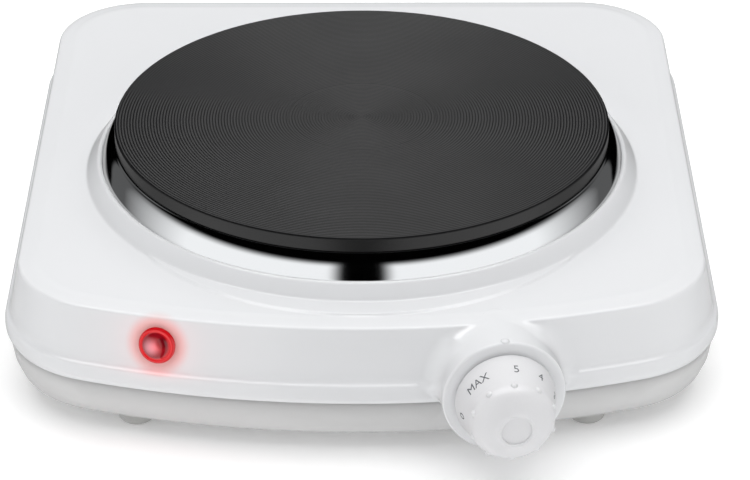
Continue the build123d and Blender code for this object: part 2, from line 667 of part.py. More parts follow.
def make_lamp_lens():
    """Red lens: a shallow dome outside and a hollow stem through the apron."""
    lens = turned([
        (0, 0.0), (LENS_R, 0.0), (LENS_R, 0.9), (LENS_R - 0.5, 1.4), (LENS_R - 2.0, 2.05),
        (LENS_R - 4.0, LENS_DOME - 0.1), (0, LENS_DOME),
    ])
    lens += drum(LENS_STEM_R, -LENS_STEM, 0)
    return lens - drum(LAMP_TUBE_R, -LENS_STEM - 1, -0.4)


def make_lamp_body():
    """Tube that holds the glow bulb and plugs into the lens."""
    low = LAMP_TUBE_TOP - LAMP_TUBE_LENGTH
    return drum(LAMP_TUBE_R, low, LAMP_TUBE_TOP) - drum(LAMP_TUBE_R - LENS_WALL, low + 1.2, 1)


def make_neon_bulb():
    """Small glow bulb inside the lamp body."""
    return drum(BULB_R, BULB_BACK, BULB_FRONT) + Pos(0, 0, BULB_FRONT) * Sphere(BULB_R)


def make_lamp_retainer():
    """Push-on ring that holds the lens from inside the apron."""
    return tube(LENS_STEM_R + RETAINER_WIDTH, LENS_STEM_R, RETAINER_BACK, RETAINER_BACK + RETAINER_SHEET)


def make_lamp_resistor():
    """Series resistor behind the glow bulb."""
    front = BULB_BACK - 0.5
    return drum(RESISTOR_R, front - RESISTOR_LENGTH, front)


# ---- feet, posts, mains entry ----------------------------------------------


def make_foot():
    """Rubber foot with a recess for its screw."""
    foot = turned([
        (0, 0), (FOOT_R - 0.9, 0), (FOOT_R - 0.2, 0.7), (FOOT_R + 0.4, PAN_Z), (0, PAN_Z),
    ])
    return foot - drum(SCREW_HEAD_R + 0.3, -1, RECESS) - drum(SCREW_R, -1, PAN_Z + 1)


def make_foot_screws():
    """Four screws that hold feet, base pan and housing together."""
    screw = drum(SCREW_R, RECESS, RECESS + SCREW_LENGTH)
    screw += drum(SCREW_HEAD_R, RECESS - SCREW_HEAD_HEIGHT, RECESS)
    return Compound(children=[(Pos(x, y, 0) * screw).solid() for x, y in pattern_of_feet().values()])


def make_post(x, y):
    """Post from the base pan to the underside of the deck, tapped for the foot's screw."""
    post = Pos(x, y, 0) * drum(POST_R, PAN_FLOOR, DECK_Z)
    post = post & housing_space
    return post - Pos(x, y, 0) * drum(SCREW_R, PAN_FLOOR - 1, RECESS + SCREW_LENGTH)


def make_cord_gland():
    """Bushing where the mains cord enters the base pan; its cord isn't fitted."""
    collar = drum(GLAND_FLANGE_R, -6, GLAND_REACH - 0.8) + drum(GLAND_FLANGE_R - 0.6, -6, GLAND_REACH)
    collar = GLAND.location * collar - pan_outside()
    inner = drum(GLAND_R, -14, GLAND_REACH - 1) + drum(GLAND_FLANGE_R - 0.8, -14, -9)
    bore = extrude(Circle(GLAND_BORE_R), FAR, both=True)
    return collar + GLAND.location * inner - GLAND.location * bore


def along_y(radius, x, z, low, high):
    """A cylinder along Y between two distances."""
    rod = extrude(Circle(radius), high - low)
    return Plane(origin=(x, low, z), x_dir=(-1, 0, 0), z_dir=(0, 1, 0)).location * rod


def make_mains_block():
    """Ceramic terminal block on the pan's floor."""
    block = Pos(GLAND_X, BLOCK_Y, BLOCK_WIRE_Z) * Box(*BLOCK_SIZE)
    for x in SLEEVE_X:
        block -= along_y(SLEEVE_R, x, BLOCK_WIRE_Z, BLOCK_Y - 20, BLOCK_Y + 20)
        block -= Pos(x, BLOCK_Y, 0) * drum(CLAMP_SCREW_R, BLOCK_WIRE_Z, FAR)
    return block


def make_mains_sleeves():
    """Brass sleeves of the terminal block."""
    half = BLOCK_SIZE[1] / 2
    sleeves = []
    for x in SLEEVE_X:
        sleeve = along_y(SLEEVE_R, x, BLOCK_WIRE_Z, BLOCK_Y - half, BLOCK_Y + half)
        bore = along_y(SLEEVE_BORE_R, x, BLOCK_WIRE_Z, BLOCK_Y - 20, BLOCK_Y + 20)
        sleeves.append((sleeve - bore).solid())
    return Compound(children=sleeves)


def make_mains_screws():
    """Clamping screws on top of the terminal block."""
    top = PAN_FLOOR + BLOCK_SIZE[2]
    screw = drum(CLAMP_SCREW_R, BLOCK_WIRE_Z + SLEEVE_R + 0.1, top)
    screw += drum(CLAMP_HEAD_R, top, top + CLAMP_HEAD)
    screws = [(Pos(x, BLOCK_Y, 0) * screw).solid() for x in SLEEVE_X]
    return Compound(children=screws)


def make_earth_tag():
    """Angle tag on the pan's floor where the earth leads end."""
    flat = Pos(TAG_X, EARTH_Y, PAN_FLOOR + TAG_SHEET / 2) * Box(TAG_LENGTH, TAG_WIDTH, TAG_SHEET)
    upright = Box(TAG_SHEET, TAG_WIDTH, TAG_HEIGHT)
    upright = Pos(TAG_FACE_X + TAG_SHEET / 2, EARTH_Y, PAN_FLOOR + TAG_HEIGHT / 2) * upright
    return flat + upright - Pos(EARTH_X, EARTH_Y, 0) * drum(SCREW_R, 0, 20)


def make_earth_screw():
    """Screw that bonds the earth tag to the pan."""
    seat = PAN_FLOOR + TAG_SHEET
    screw = drum(SCREW_R, PAN_Z + 0.1, seat) + drum(SCREW_HEAD_R, seat, seat + EARTH_HEAD)
    return Pos(EARTH_X, EARTH_Y, 0) * screw


# ---- leads: straight runs joined by tangent arcs ---------------------------


def lead(points, radius):
    """A round lead along a route, with each arc as large as its two runs allow."""
    spots = [Vector(*point) for point in points]
    radii = []
    for before, here, after in zip(spots, spots[1:], spots[2:]):
        turn = radians((here - before).get_angle(after - here))
        shorter = min((here - before).length, (after - here).length)
        radii.append(BEND * shorter / tan(turn / 2))
    print("   arc radii", [round(value, 1) for value in radii])
    path = FilletPolyline(*spots, radius=radii)
    start = Plane(origin=path @ 0, z_dir=path % 0)
    return sweep(start * Circle(radius), path=path)


def on_knob_axis(x, y, z):
    """A point given along the knob's axis, as a point of the whole object."""
    return tuple(KNOB.from_local_coords(Vector(x, y, z)))


def on_lamp_axis(x, y, z):
    """A point given along the lamp's axis, as a point of the whole object."""
    return tuple(LAMP.from_local_coords(Vector(x, y, z)))


def below_pin(index, gap):
    """A point under one of the plate's pins."""
    return (TERMINAL_X[index], TERMINAL_Y, PIN_BOTTOM - gap)


def sleeve_mouth(index, inside=3.0):
    """A point in the front mouth of one of the block's sleeves."""
    return (SLEEVE_X[index], BLOCK_Y - BLOCK_SIZE[1] / 2 + inside, BLOCK_WIRE_Z)


def lead_routes():
    """Route and radius of each internal lead."""
    fixed_end = BLADE_1 - BLADE_SHEET - END_GAP
    moving_end = BLADE_2 - BLADE_SHEET - END_GAP
    drop = -STACK_DROP
    return {
        "live_in_lead": (LEAD_R, [
            sleeve_mouth(0), (SLEEVE_X[0], 78, BLOCK_WIRE_Z), (-42, 44, 14), (-14, 8, 13),
            (14, -34, 14), (46, -66, 16), on_knob_axis(12, drop, fixed_end - 36),
            on_knob_axis(12, drop, fixed_end),
        ]),
        "live_out_lead": (LEAD_R, [
            on_knob_axis(-10, drop, moving_end), on_knob_axis(-10, drop, moving_end - 30),
            (16, -56, 22), (-8, -26, 24), (-16, 12, 24), below_pin(0, 17), below_pin(0, END_GAP),
        ]),
        "neutral_lead": (LEAD_R, [
            sleeve_mouth(1), (SLEEVE_X[1], 84, 14), (-26, 64, 17), (-4, 47, 21), below_pin(1, END_GAP),
        ]),
        "earth_lead": (LEAD_R, [
            sleeve_mouth(2), (SLEEVE_X[2], 86, 13), (-12, 76, 12), (8, 84, 12.5),
            (TAG_FACE_X - END_GAP, EARTH_Y + 2, 13),
        ]),
        "plate_earth_lead": (LEAD_R, [
            below_pin(2, END_GAP), (TERMINAL_PITCH, TERMINAL_Y, 24), (6, 66, 16), (12, EARTH_Y - 5, 12.5),
            (TAG_FACE_X - END_GAP, EARTH_Y - 2, 12),
        ]),
        "lamp_live_lead": (LAMP_LEAD_R, [
            on_lamp_axis(LAMP_LEAD_X, 0, LAMP_END), on_lamp_axis(LAMP_LEAD_X, 0, LAMP_END - 16),
            (-30, -74, 24), (2, -72, 17), on_knob_axis(-14.5, drop, moving_end - 20),
            on_knob_axis(-14.5, drop, moving_end),
        ]),
        "lamp_neutral_lead": (LAMP_LEAD_R, [
            on_lamp_axis(-LAMP_LEAD_X, 0, LAMP_END), on_lamp_axis(-LAMP_LEAD_X, 0, LAMP_END - 22),
            (-46, -40, 28), (-28, -4, 30), (-6, 22, 34),
            (0, TERMINAL_Y - TERMINAL_R - END_GAP, PIN_BOTTOM + 1.5),
        ]),
    }


def export(shape, name):
    """Write one sub-part's STEP file."""
    export_step(shape, "parts/" + name + ".step")
    print(name, len(shape.solids()), round(shape.volume, 1))


def on_axis(plane, shape):
    """Move a shape built along a local axis to its place."""
    return plane.location * shape


housing_space = housing_inside()
export(make_top_housing(), "top_housing")
export(make_base_pan(), "base_pan")
export(make_hot_plate(), "hot_plate")
export(make_trim_ring(), "trim_ring")
for name, radius in zip(("inner", "middle", "outer"), GROOVE_RADII):
    export(coil(radius), "heating_coil_" + name)
export(make_magnesia(), "magnesia_filler")
export(make_plate_cover(), "plate_cover")
export(make_plate_terminal(), "plate_terminal")
export(Compound(children=[pin.solid() for pin in terminal_holes(TERMINAL_R)]), "plate_pins")
export(make_heat_shield(), "heat_shield")
export(make_clamp_bridge(), "clamp_bridge")
export(drum(STUD_R, STUD_TOP - STUD_LENGTH, STUD_TOP), "plate_stud")
export(tube(WASHER_R, STUD_R + 0.2, WASHER_TOP - WASHER, WASHER_TOP), "stud_washer")
export(make_stud_nut(), "stud_nut")

export(on_axis(KNOB, make_control_knob()), "control_knob")
export(on_axis(KNOB, make_knob_clip()), "knob_clip")
export(on_axis(KNOB, make_spindle()), "thermostat_spindle")
export(on_axis(KNOB, drum(PIN_R, PIN_TIP, PIN_TOP)), "push_pin")
export(on_axis(KNOB, make_bushing()), "thermostat_bushing")
export(on_axis(KNOB, make_bushing_nut()), "bushing_nut")
export(on_axis(KNOB, make_thermostat_frame()), "thermostat_frame")
export(on_axis(KNOB, make_fixed_blade()), "fixed_contact_blade")
export(on_axis(KNOB, make_moving_blade()), "moving_contact_blade")
export(on_axis(KNOB, blade(BIMETAL_TOP, BIMETAL_SHEET, CONTACT_Y)), "bimetal_strip")
export(on_axis(KNOB, make_insulators()), "stack_insulators")
export(on_axis(KNOB, make_stack_rivet()), "stack_rivet")

export(on_axis(LAMP, make_lamp_lens()), "lamp_lens")
export(on_axis(LAMP, make_lamp_body()), "lamp_body")
export(on_axis(LAMP, make_neon_bulb()), "neon_bulb")
export(on_axis(LAMP, make_lamp_retainer()), "lamp_retainer")
export(on_axis(LAMP, make_lamp_resistor()), "lamp_resistor")

for place, (x, y) in pattern_of_feet().items():
    export(Pos(x, y, 0) * make_foot(), "foot_" + place)
    export(make_post(x, y), "post_" + place)
export(make_foot_screws(), "foot_screws")
export(make_cord_gland(), "cord_gland")
export(make_mains_block(), "mains_block")
export(make_mains_sleeves(), "mains_sleeves")
export(make_mains_screws(), "mains_screws")
export(make_earth_tag(), "earth_tag")
export(make_earth_screw(), "earth_screw")
for name, (radius, points) in lead_routes().items():
    export(lead(points, radius), name)
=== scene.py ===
# %% [markdown]
# # Hot plate burner
# A cast-iron plate sits on a pressed steel housing with a knob and a pilot lamp on its front.
# The imported CAD model gives every size and place. This lesson builds the looks round it:
# smooth pressed enamel, turned iron, chrome, moulded plastic and a lit lens.
# The first cell loads the CAD frame, and can measure the box of each of its nodes.

# %% Load the frame
import json
from math import asin, atan2, cos, pi, radians, sin

import bpy
import bmesh
import numpy as np
from mathutils import Matrix, Vector

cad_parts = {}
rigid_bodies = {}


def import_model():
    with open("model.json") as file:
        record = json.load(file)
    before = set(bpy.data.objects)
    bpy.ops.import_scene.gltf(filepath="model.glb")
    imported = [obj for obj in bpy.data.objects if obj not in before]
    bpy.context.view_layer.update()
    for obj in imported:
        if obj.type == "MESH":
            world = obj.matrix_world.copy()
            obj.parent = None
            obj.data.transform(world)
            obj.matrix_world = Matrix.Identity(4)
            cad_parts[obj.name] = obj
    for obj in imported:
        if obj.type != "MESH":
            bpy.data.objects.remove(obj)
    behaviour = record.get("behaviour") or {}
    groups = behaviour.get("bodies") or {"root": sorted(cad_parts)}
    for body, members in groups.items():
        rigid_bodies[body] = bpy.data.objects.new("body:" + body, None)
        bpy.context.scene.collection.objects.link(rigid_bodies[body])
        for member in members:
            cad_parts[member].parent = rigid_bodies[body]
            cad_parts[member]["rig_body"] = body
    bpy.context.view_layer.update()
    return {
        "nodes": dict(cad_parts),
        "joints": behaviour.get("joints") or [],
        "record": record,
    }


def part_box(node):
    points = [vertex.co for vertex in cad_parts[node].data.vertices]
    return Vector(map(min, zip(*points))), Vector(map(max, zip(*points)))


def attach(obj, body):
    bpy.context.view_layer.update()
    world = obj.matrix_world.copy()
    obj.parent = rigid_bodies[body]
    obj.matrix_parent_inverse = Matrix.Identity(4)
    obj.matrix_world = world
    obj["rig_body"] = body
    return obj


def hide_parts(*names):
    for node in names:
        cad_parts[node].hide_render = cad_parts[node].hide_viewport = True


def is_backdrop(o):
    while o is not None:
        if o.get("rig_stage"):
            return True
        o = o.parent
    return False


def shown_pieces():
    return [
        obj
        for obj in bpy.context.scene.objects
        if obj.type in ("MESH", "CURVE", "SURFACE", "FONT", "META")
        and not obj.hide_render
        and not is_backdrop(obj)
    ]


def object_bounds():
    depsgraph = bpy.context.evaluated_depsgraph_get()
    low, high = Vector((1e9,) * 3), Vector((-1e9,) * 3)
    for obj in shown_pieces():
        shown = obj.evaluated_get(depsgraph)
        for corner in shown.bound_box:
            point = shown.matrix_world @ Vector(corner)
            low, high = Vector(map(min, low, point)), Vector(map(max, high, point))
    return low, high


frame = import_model()

# %% [markdown]
# The camera comes first, because every later choice is judged through it. A product is usually
# taken from about 30 degrees above with a long lens, which keeps the sides nearly parallel.

# %% Camera
CAMERA_PLACE = (0.0018, -1.0320, 0.6075)
CAMERA_PITCH = 60.21
CAMERA_YAW = -0.177
CAMERA_LENS = 148.94

camera = bpy.data.objects.new("camera", bpy.data.cameras.new("camera"))
bpy.context.scene.collection.objects.link(camera)
camera.location = CAMERA_PLACE
camera.rotation_euler = (radians(CAMERA_PITCH), 0, radians(CAMERA_YAW))
camera.data.lens = CAMERA_LENS
camera.data.sensor_width = 36.0
bpy.context.scene.camera = camera
print("camera distance, m:", round(camera.location.length, 3))

# %% [markdown]
# Every material is a small tree of nodes. Colours are written as sRGB hex, as in a paint chart,
# and Blender works in linear light, so one function converts them. A second function adds any
# node with its settings, and fills each named socket with a value or with a link.

# %% Colours and nodes
MM = 0.001


def colour(text):
    """An sRGB hex colour as linear red, green, blue and alpha."""
    parts = [int(text[i:i + 2], 16) / 255 for i in (0, 2, 4)]
    return tuple([p / 12.92 if p <= 0.04045 else ((p + 0.055) / 1.055) ** 2.4 for p in parts] + [1.0])


def add_node(tree, kind, sockets=None, **settings):
    """A node with its settings, and its sockets set to values or linked to outputs."""
    node = tree.nodes.new(kind)
    for name, value in settings.items():
        setattr(node, name, value)
    for name, value in (sockets or {}).items():
        if isinstance(value, bpy.types.NodeSocket):
            tree.links.new(value, node.inputs[name])
        else:
            node.inputs[name].default_value = value
    return node


def start_material(name, **values):
    """A material with one Principled shader, and that shader and its tree."""
    material = bpy.data.materials.new(name)
    material.use_nodes = True
    tree = material.node_tree
    tree.nodes.clear()
    sockets = {key.replace("_", " "): value for key, value in values.items()}
    shader = add_node(tree, "ShaderNodeBsdfPrincipled", sockets)
    add_node(tree, "ShaderNodeOutputMaterial", {"Surface": shader.outputs[0]})
    return material, tree, shader


print("hex 808080 in linear light:", round(colour("808080")[0], 3))

# %% [markdown]
# A finish is a pattern and what it drives. The pattern is a value from 0 to 1 over the surface,
# and its size is given in millimetres, as a real grain's is. It can drive the colour, the
# roughness, and a bump of a real depth. Driven together, they read as one surface.

# %% Patterns, and what they drive


def grain(tree, place, size_mm, detail=2.0, stretch=(1, 1, 1)):
    """Noise whose lumps are about size_mm across, as a 0 to 1 value."""
    scaled = add_node(tree, "ShaderNodeMapping", {"Scale": stretch, "Vector": place})
    sockets = {"Scale": 1 / (size_mm * MM), "Detail": detail, "Roughness": 0.5, "Vector": scaled.outputs[0]}
    return add_node(tree, "ShaderNodeTexNoise", sockets).outputs["Fac"]


def drive(tree, shader, colours=None, rough=None, bump=None):
    """Drive a shader by (value, dark, light), by (value, low, high) and by (value, depth in mm)."""
    if colours:
        share, *shades = colours
        ramp = add_node(tree, "ShaderNodeValToRGB", {"Fac": share})
        for element, shade in zip(ramp.color_ramp.elements, shades):
            element.color = colour(shade)
        tree.links.new(ramp.outputs["Color"], shader.inputs["Base Color"])
    if rough:
        share, low, high = rough
        spread = add_node(tree, "ShaderNodeMapRange", {"Value": share, "To Min": low, "To Max": high})
        tree.links.new(spread.outputs["Result"], shader.inputs["Roughness"])
    if bump:
        share, depth_mm = bump
        relief = add_node(tree, "ShaderNodeBump", {
            "Height": share, "Distance": depth_mm * MM, "Strength": 1.0})
        tree.links.new(relief.outputs["Normal"], shader.inputs["Normal"])


# %% [markdown]
# Most small fittings inside are one plain stuff each: zinc plate, brass, ceramic, sleeving. They
# differ in colour, gloss and grain, so a table holds them, and each gets a colour that varies
# over its surface, a roughness that varies with the same grain, and a bump of a real depth.

# %% Materials of the fittings
# name: (dark, light, metallic, roughness low, high, grain mm, bump mm, stretch of the grain)
FITTINGS = {
    # base_enamel is set greyer than the housing's white: painted shade of the downward-facing pan, which is
    # the same white enamel.
    "base_enamel": ("D4D4D4", "D6D6D6", 0, 0.24, 0.28, 4.0, 0.002, (1, 1, 1)),
    "resistance_wire": ("4A4540", "6A625A", 1, 0.45, 0.60, 0.4, 0.020, (1, 1, 1)),
    "magnesia": ("CFCBC0", "E2DFD6", 0, 0.85, 0.95, 0.5, 0.060, (1, 1, 1)),
    "ceramic": ("D6D1C2", "E8E4D8", 0, 0.55, 0.70, 0.6, 0.030, (1, 1, 1)),
    "brass": ("A8884A", "C9A962", 1, 0.25, 0.38, 0.5, 0.008, (1, 1, 6)),
    "galvanised_steel": ("8E9193", "B4B7B9", 1, 0.35, 0.55, 7.0, 0.010, (1, 1, 1)),
    "aluminised_steel": ("A2A3A3", "BDBEBE", 1, 0.38, 0.50, 1.2, 0.010, (1, 8, 1)),
    "zinc_steel": ("9C9EA0", "C0C2C4", 1, 0.28, 0.42, 0.6, 0.008, (1, 1, 1)),
    "spring_steel": ("545A62", "747A82", 1, 0.25, 0.35, 0.5, 0.005, (8, 1, 1)),
    "lamp_plastic": ("CFCFCA", "DCDCD8", 0, 0.40, 0.50, 0.5, 0.010, (1, 1, 1)),
    "glow_glass": ("E8C6A8", "F2D8C0", 0, 0.05, 0.10, 2.0, 0.004, (1, 1, 1)),
    "foot_rubber": ("BCBCBA", "C8C8C6", 0, 0.60, 0.75, 0.4, 0.030, (1, 1, 1)),
    "gland_rubber": ("C6C6C6", "D2D2D2", 0, 0.50, 0.62, 0.4, 0.020, (1, 1, 1)),
    "brown_sleeving": ("4E2C18", "5E3820", 0, 0.45, 0.60, 0.6, 0.030, (1, 1, 1)),
    "blue_sleeving": ("1C3A86", "28489A", 0, 0.45, 0.60, 0.6, 0.030, (1, 1, 1)),
    "earth_sleeving": ("5A8A1E", "B8B82A", 0, 0.45, 0.60, 5.0, 0.030, (1, 1, 1)),
}

finishes = {}
for name, (dark, light, metallic, low, high, size, bump, stretch) in FITTINGS.items():
    material, tree, shader = start_material(name, Metallic=float(metallic))
    place = add_node(tree, "ShaderNodeTexCoord").outputs["Object"]
    share = grain(tree, place, size, stretch=stretch)
    drive(tree, shader, (share, dark, light), (share, low, high), (share, bump))
    finishes[name] = material
print("fitting materials:", len(finishes))

# %% [markdown]
# The housing is enamelled steel: glass powder fused on in a furnace. It gives a clean cold white,
# a deep gloss, and a faint orange peel a few millimetres across that bends the reflections.

# %% White enamel
PEEL_MM = 3.0
PEEL_DEPTH_MM = 0.004
CLOUD_MM = 60.0

enamel, tree, shader = start_material("white_enamel", IOR=1.5, Coat_Weight=0.25, Coat_Roughness=0.06)
place = add_node(tree, "ShaderNodeTexCoord").outputs["Object"]
clouds = grain(tree, place, CLOUD_MM)
peel = grain(tree, place, PEEL_MM, detail=1.0)
drive(tree, shader, (clouds, "E6E7E9", "E9EAEC"), (peel, 0.20, 0.26), (peel, PEEL_DEPTH_MM))
finishes["white_enamel"] = enamel
print("enamel: peel every", PEEL_MM, "mm,", PEEL_DEPTH_MM, "mm deep")

# %% [markdown]
# The plate is cast iron, faced on a lathe and blackened with a heat-proof lacquer. The tool leaves
# rings about a millimetre apart, which the mesh has, and the lacquer is rough and slightly
# patchy. Rings of darker and lighter tone follow at the same pitch, and the sandy grain of the
# casting breaks them up. A formula's nodes are easier to read as a list of steps, so one function
# adds such a list, here and for the plate's shape and the studio.

# %% Blackened cast iron
GROOVE_PITCH = 1.1
WAVE_PERIODS = 2 * pi / 20
CASTING_MM = 0.7
PATCH_MM = 25.0
TONE_DEPTH_MM = 0.09


def work_out(tree, known, steps):
    """Add a formula's steps: a name, an operation, and terms that are numbers or known names."""
    for name, operation, *terms in steps:
        sockets = {index: known.get(term, term) for index, term in enumerate(terms)}
        known[name] = add_node(tree, "ShaderNodeMath", sockets, operation=operation).outputs[0]
    return known


iron, tree, shader = start_material("blackened_cast_iron", Specular_IOR_Level=0.5)
place = add_node(tree, "ShaderNodeTexCoord").outputs["Object"]
rings = add_node(
    tree, "ShaderNodeTexWave",
    {"Vector": place, "Scale": WAVE_PERIODS / (GROOVE_PITCH * MM), "Distortion": 0.15, "Detail": 1.0},
    wave_type="RINGS", rings_direction="Z").outputs["Fac"]
casting = grain(tree, place, CASTING_MM, detail=3.0)
patches = grain(tree, place, PATCH_MM)
tone = work_out(tree, {"rings": rings, "casting": casting}, [
    ("ring tone", "MULTIPLY", "rings", 0.60),
    ("tone", "MULTIPLY_ADD", "casting", 0.40, "ring tone")])["tone"]
drive(tree, shader, (tone, "040404", "18181A"), (patches, 0.30, 0.36), (tone, TONE_DEPTH_MM))
finishes["cast_iron"] = iron
print("iron: rings every", GROOVE_PITCH, "mm, casting grain", CASTING_MM, "mm")

# %% [markdown]
# The ring round the plate is chromed steel: a mirror with a trace of the polishing wheel. The
# wheel runs round the ring, so the streaks in its roughness are ten times longer that way than
# they are high.

# %% Chromed steel
WHEEL_MM = 1.5

chrome, tree, shader = start_material("polished_chrome", Metallic=1.0, Base_Color=colour("E4E6E8"))
place = add_node(tree, "ShaderNodeTexCoord").outputs["Object"]
wheel = grain(tree, place, WHEEL_MM, stretch=(1, 1, 10))
drive(tree, shader, rough=(wheel, 0.05, 0.09), bump=(wheel, 0.0008))
finishes["chromed_steel"] = chrome
print("chrome: streaks", WHEEL_MM, "mm wide")

# %% [markdown]
# The knob is moulded from heat-proof plastic. It is softer in gloss than enamel, and the mould
# gives it a fine even texture. Its figures are printed in grey ink, which is matt and a little
# uneven where the pad laid it down.

# %% White moulding and grey ink
MOULD_MM = 0.5
SPECK_MM = 0.3

moulding, tree, shader = start_material("white_moulded_plastic", IOR=1.52)
place = add_node(tree, "ShaderNodeTexCoord").outputs["Object"]
texture = grain(tree, place, MOULD_MM)
drive(tree, shader, (texture, "E0E0E2", "E4E4E6"), (texture, 0.30, 0.38), (texture, 0.004))
finishes["white_plastic"] = moulding

ink, tree, shader = start_material("grey_dial_ink")
place = add_node(tree, "ShaderNodeTexCoord").outputs["Object"]
speck = grain(tree, place, SPECK_MM)
drive(tree, shader, (speck, "5C5E62", "74767A"), (speck, 0.55, 0.70))
print("moulding: texture", MOULD_MM, "mm; ink: specks", SPECK_MM, "mm")

# %% [markdown]
# Sheet metal follows one outline at many heights. A press draws the flat sheet over a form, so
# each level of the housing is the same outline, grown or shrunk by an even amount. The outline
# here is worked out once, as points and the directions square to it, and every level reuses it.

# %% The body's outline
BODY_WIDTH = 247.0
BODY_FRONT = 118.4
BODY_BACK = 144.3
FRONT_BOW_R = 316.0
FRONT_CORNER_R = 37.0
BACK_CORNER_R = 34.0
BOW_CENTRE_Y = FRONT_BOW_R - BODY_FRONT


def arc(centre, radius, start, end, count):
    """Points along an arc, without its last point, and the directions square to it."""
    turn = np.radians(np.linspace(start, end, count, endpoint=False))
    facing = np.column_stack([np.cos(turn), np.sin(turn)])
    return np.array(centre) + radius * facing, facing


def straight(start, end, facing, count):
    """Points along a line, without its last point, and the direction square to it."""
    share = np.linspace(0, 1, count, endpoint=False)[:, None]
    spots = np.array(start) * (1 - share) + np.array(end) * share
    return spots, np.tile(facing, (count, 1)).astype(float)


def body_outline():
    """The deck edge as points, anticlockwise from the left end of the bowed front."""
    half = BODY_WIDTH / 2
    corner_x = half - FRONT_CORNER_R
    corner_y = BOW_CENTRE_Y - ((FRONT_BOW_R - FRONT_CORNER_R) ** 2 - corner_x ** 2) ** 0.5
    bow = np.degrees(atan2(corner_x, BOW_CENTRE_Y - corner_y))
    back_x = half - BACK_CORNER_R
    back_y = BODY_BACK - BACK_CORNER_R
    runs = [
        arc((0, BOW_CENTRE_Y), FRONT_BOW_R, 270 - bow, 270 + bow, 96),
        arc((corner_x, corner_y), FRONT_CORNER_R, 270 + bow, 360, 36),
        straight((half, corner_y), (half, back_y), (1, 0), 56),
        arc((back_x, back_y), BACK_CORNER_R, 0, 90, 32),
        straight((back_x, BODY_BACK), (-back_x, BODY_BACK), (0, 1), 64),
        arc((-back_x, back_y), BACK_CORNER_R, 90, 180, 32),
        straight((-half, back_y), (-half, corner_y), (-1, 0), 56),
        arc((-corner_x, corner_y), FRONT_CORNER_R, 180, 270 - bow, 36),
    ]
    return np.vstack([run[0] for run in runs]), np.vstack([run[1] for run in runs])


edge_points, edge_facing = body_outline()
AROUND = len(edge_points)
print("points round the outline:", AROUND)

# %% [markdown]
# A section drawn with corners looks folded, and pressed sheet never is. Cutting each corner off
# a few times turns a short list of points into a smooth curve that keeps close to the list.

# %% Smooth sections


def eased(points, passes=3):
    """An open run of points with its corners cut again and again, its ends kept."""
    points = np.array(points, float)
    for _ in range(passes):
        near_start = points[:-1] * 0.75 + points[1:] * 0.25
        near_end = points[:-1] * 0.25 + points[1:] * 0.75
        middle = np.stack([near_start, near_end], 1).reshape(-1, points.shape[1])
        points = np.vstack([points[:1], middle[1:-1], points[-1:]])
    return points


print("one corner of three points, eased:", len(eased([(0, 0), (1, 0), (1, 1)])), "points")

# %% [markdown]
# Pressed, spun and turned pieces are all made from rows of points. Each row goes once round the
# piece, and quads join it to the next. A lathe is the same with circles for rows, and a shape
# can be turned upright in a frame of its own and then moved to its place.

# %% Shells from rows of points


def skin(rows, closed=False):
    """Points and quads of rows that each run once round, joined one to the next."""
    count, around = len(rows), len(rows[0])
    last = count if closed else count - 1
    here = np.arange(around)
    beside = (here + 1) % around
    quads = []
    for row in range(last):
        low, high = row * around, (row + 1) % count * around
        quads.append(np.column_stack([low + here, low + beside, high + beside, high + here]))
    return np.vstack(rows), np.vstack(quads).tolist()


def lathe(section, segments, closed=False, axis_place=None):
    """A shape turned about Z from (radius, height) points, or about the Z axis of axis_place."""
    turn = np.arange(segments) * 2 * pi / segments
    rows = [np.column_stack([r * np.cos(turn), r * np.sin(turn), np.full(segments, z)]) for r, z in section]
    points, quads = skin(rows, closed)
    return (moved(points, axis_place) if axis_place is not None else points), quads


def moved(points, place):
    """Points taken from a local frame, a 4 by 4 matrix in millimetres, to the object's frame."""
    turn = np.array(place)
    return points @ turn[:3, :3].T + turn[:3, 3]


# %% [markdown]
# A piece is one or more closed shells, so that light and shadow fall as on solid things. The
# print of its open edges shows at once when one isn't closed. Edges sharper than the crease angle
# stay crisp, and the rest is shaded smooth. Then the piece is attached to the body it rides on,
# and the CAD nodes it takes the place of are hidden.

# %% Pieces


def new_piece(name, shells, material, crease=38):
    """One object from several closed shells in millimetres, smooth up to the crease angle."""
    mesh = bpy.data.meshes.new(name)
    work = bmesh.new()
    for points, faces in shells:
        made = [work.verts.new(point) for point in np.asarray(points) * MM]
        for face in faces:
            work.faces.new([made[index] for index in face])
    bmesh.ops.remove_doubles(work, verts=work.verts, dist=1e-6)
    bmesh.ops.recalc_face_normals(work, faces=work.faces)
    work.to_mesh(mesh)
    work.free()
    piece = bpy.data.objects.new(name, mesh)
    bpy.context.scene.collection.objects.link(piece)
    return finish_mesh(piece, material, crease)


def finish_mesh(piece, material, crease=38):
    """Give a piece its material and smooth shading up to a crease angle."""
    piece.data.materials.clear()
    piece.data.materials.append(material)
    piece.data.shade_smooth()
    piece.data.set_sharp_from_angle(angle=radians(crease))
    edges = np.zeros(len(piece.data.loops), int)
    piece.data.loops.foreach_get("edge_index", edges)
    open_edges = int((np.bincount(edges, minlength=len(piece.data.edges)) != 2).sum())
    print(piece.name, "faces", len(piece.data.polygons), "open edges", open_edges)
    return piece


def stand_for(piece, body, slot, *nodes):
    """Let a piece ride on its body, and hide the CAD nodes it takes the place of."""
    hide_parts(*nodes)
    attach(piece, body)


# %% [markdown]
# The deck is flat but for two pressed shapes: a low ring-shaped seat round the plate, and a
# crescent in front of it. Both are height fields over the deck. Where two heights meet, the
# larger one wins, and a soft maximum rounds the valley between them as a press tool does.

# %% Heights of the deck
DECK_Z = 50.0
HUMP_TOP = 56.4
HUMP_R = 99.6
HUMP_SLOPE = 1.42
PAD_RISE = 0.8
PAD_R = 92.0
PAD_SHIFT = 19.6
PAD_EDGE = 0.9
HUMP_IN = 0.4
TOP_SOFTNESS = 0.7
FOOT_SOFTNESS = 0.6


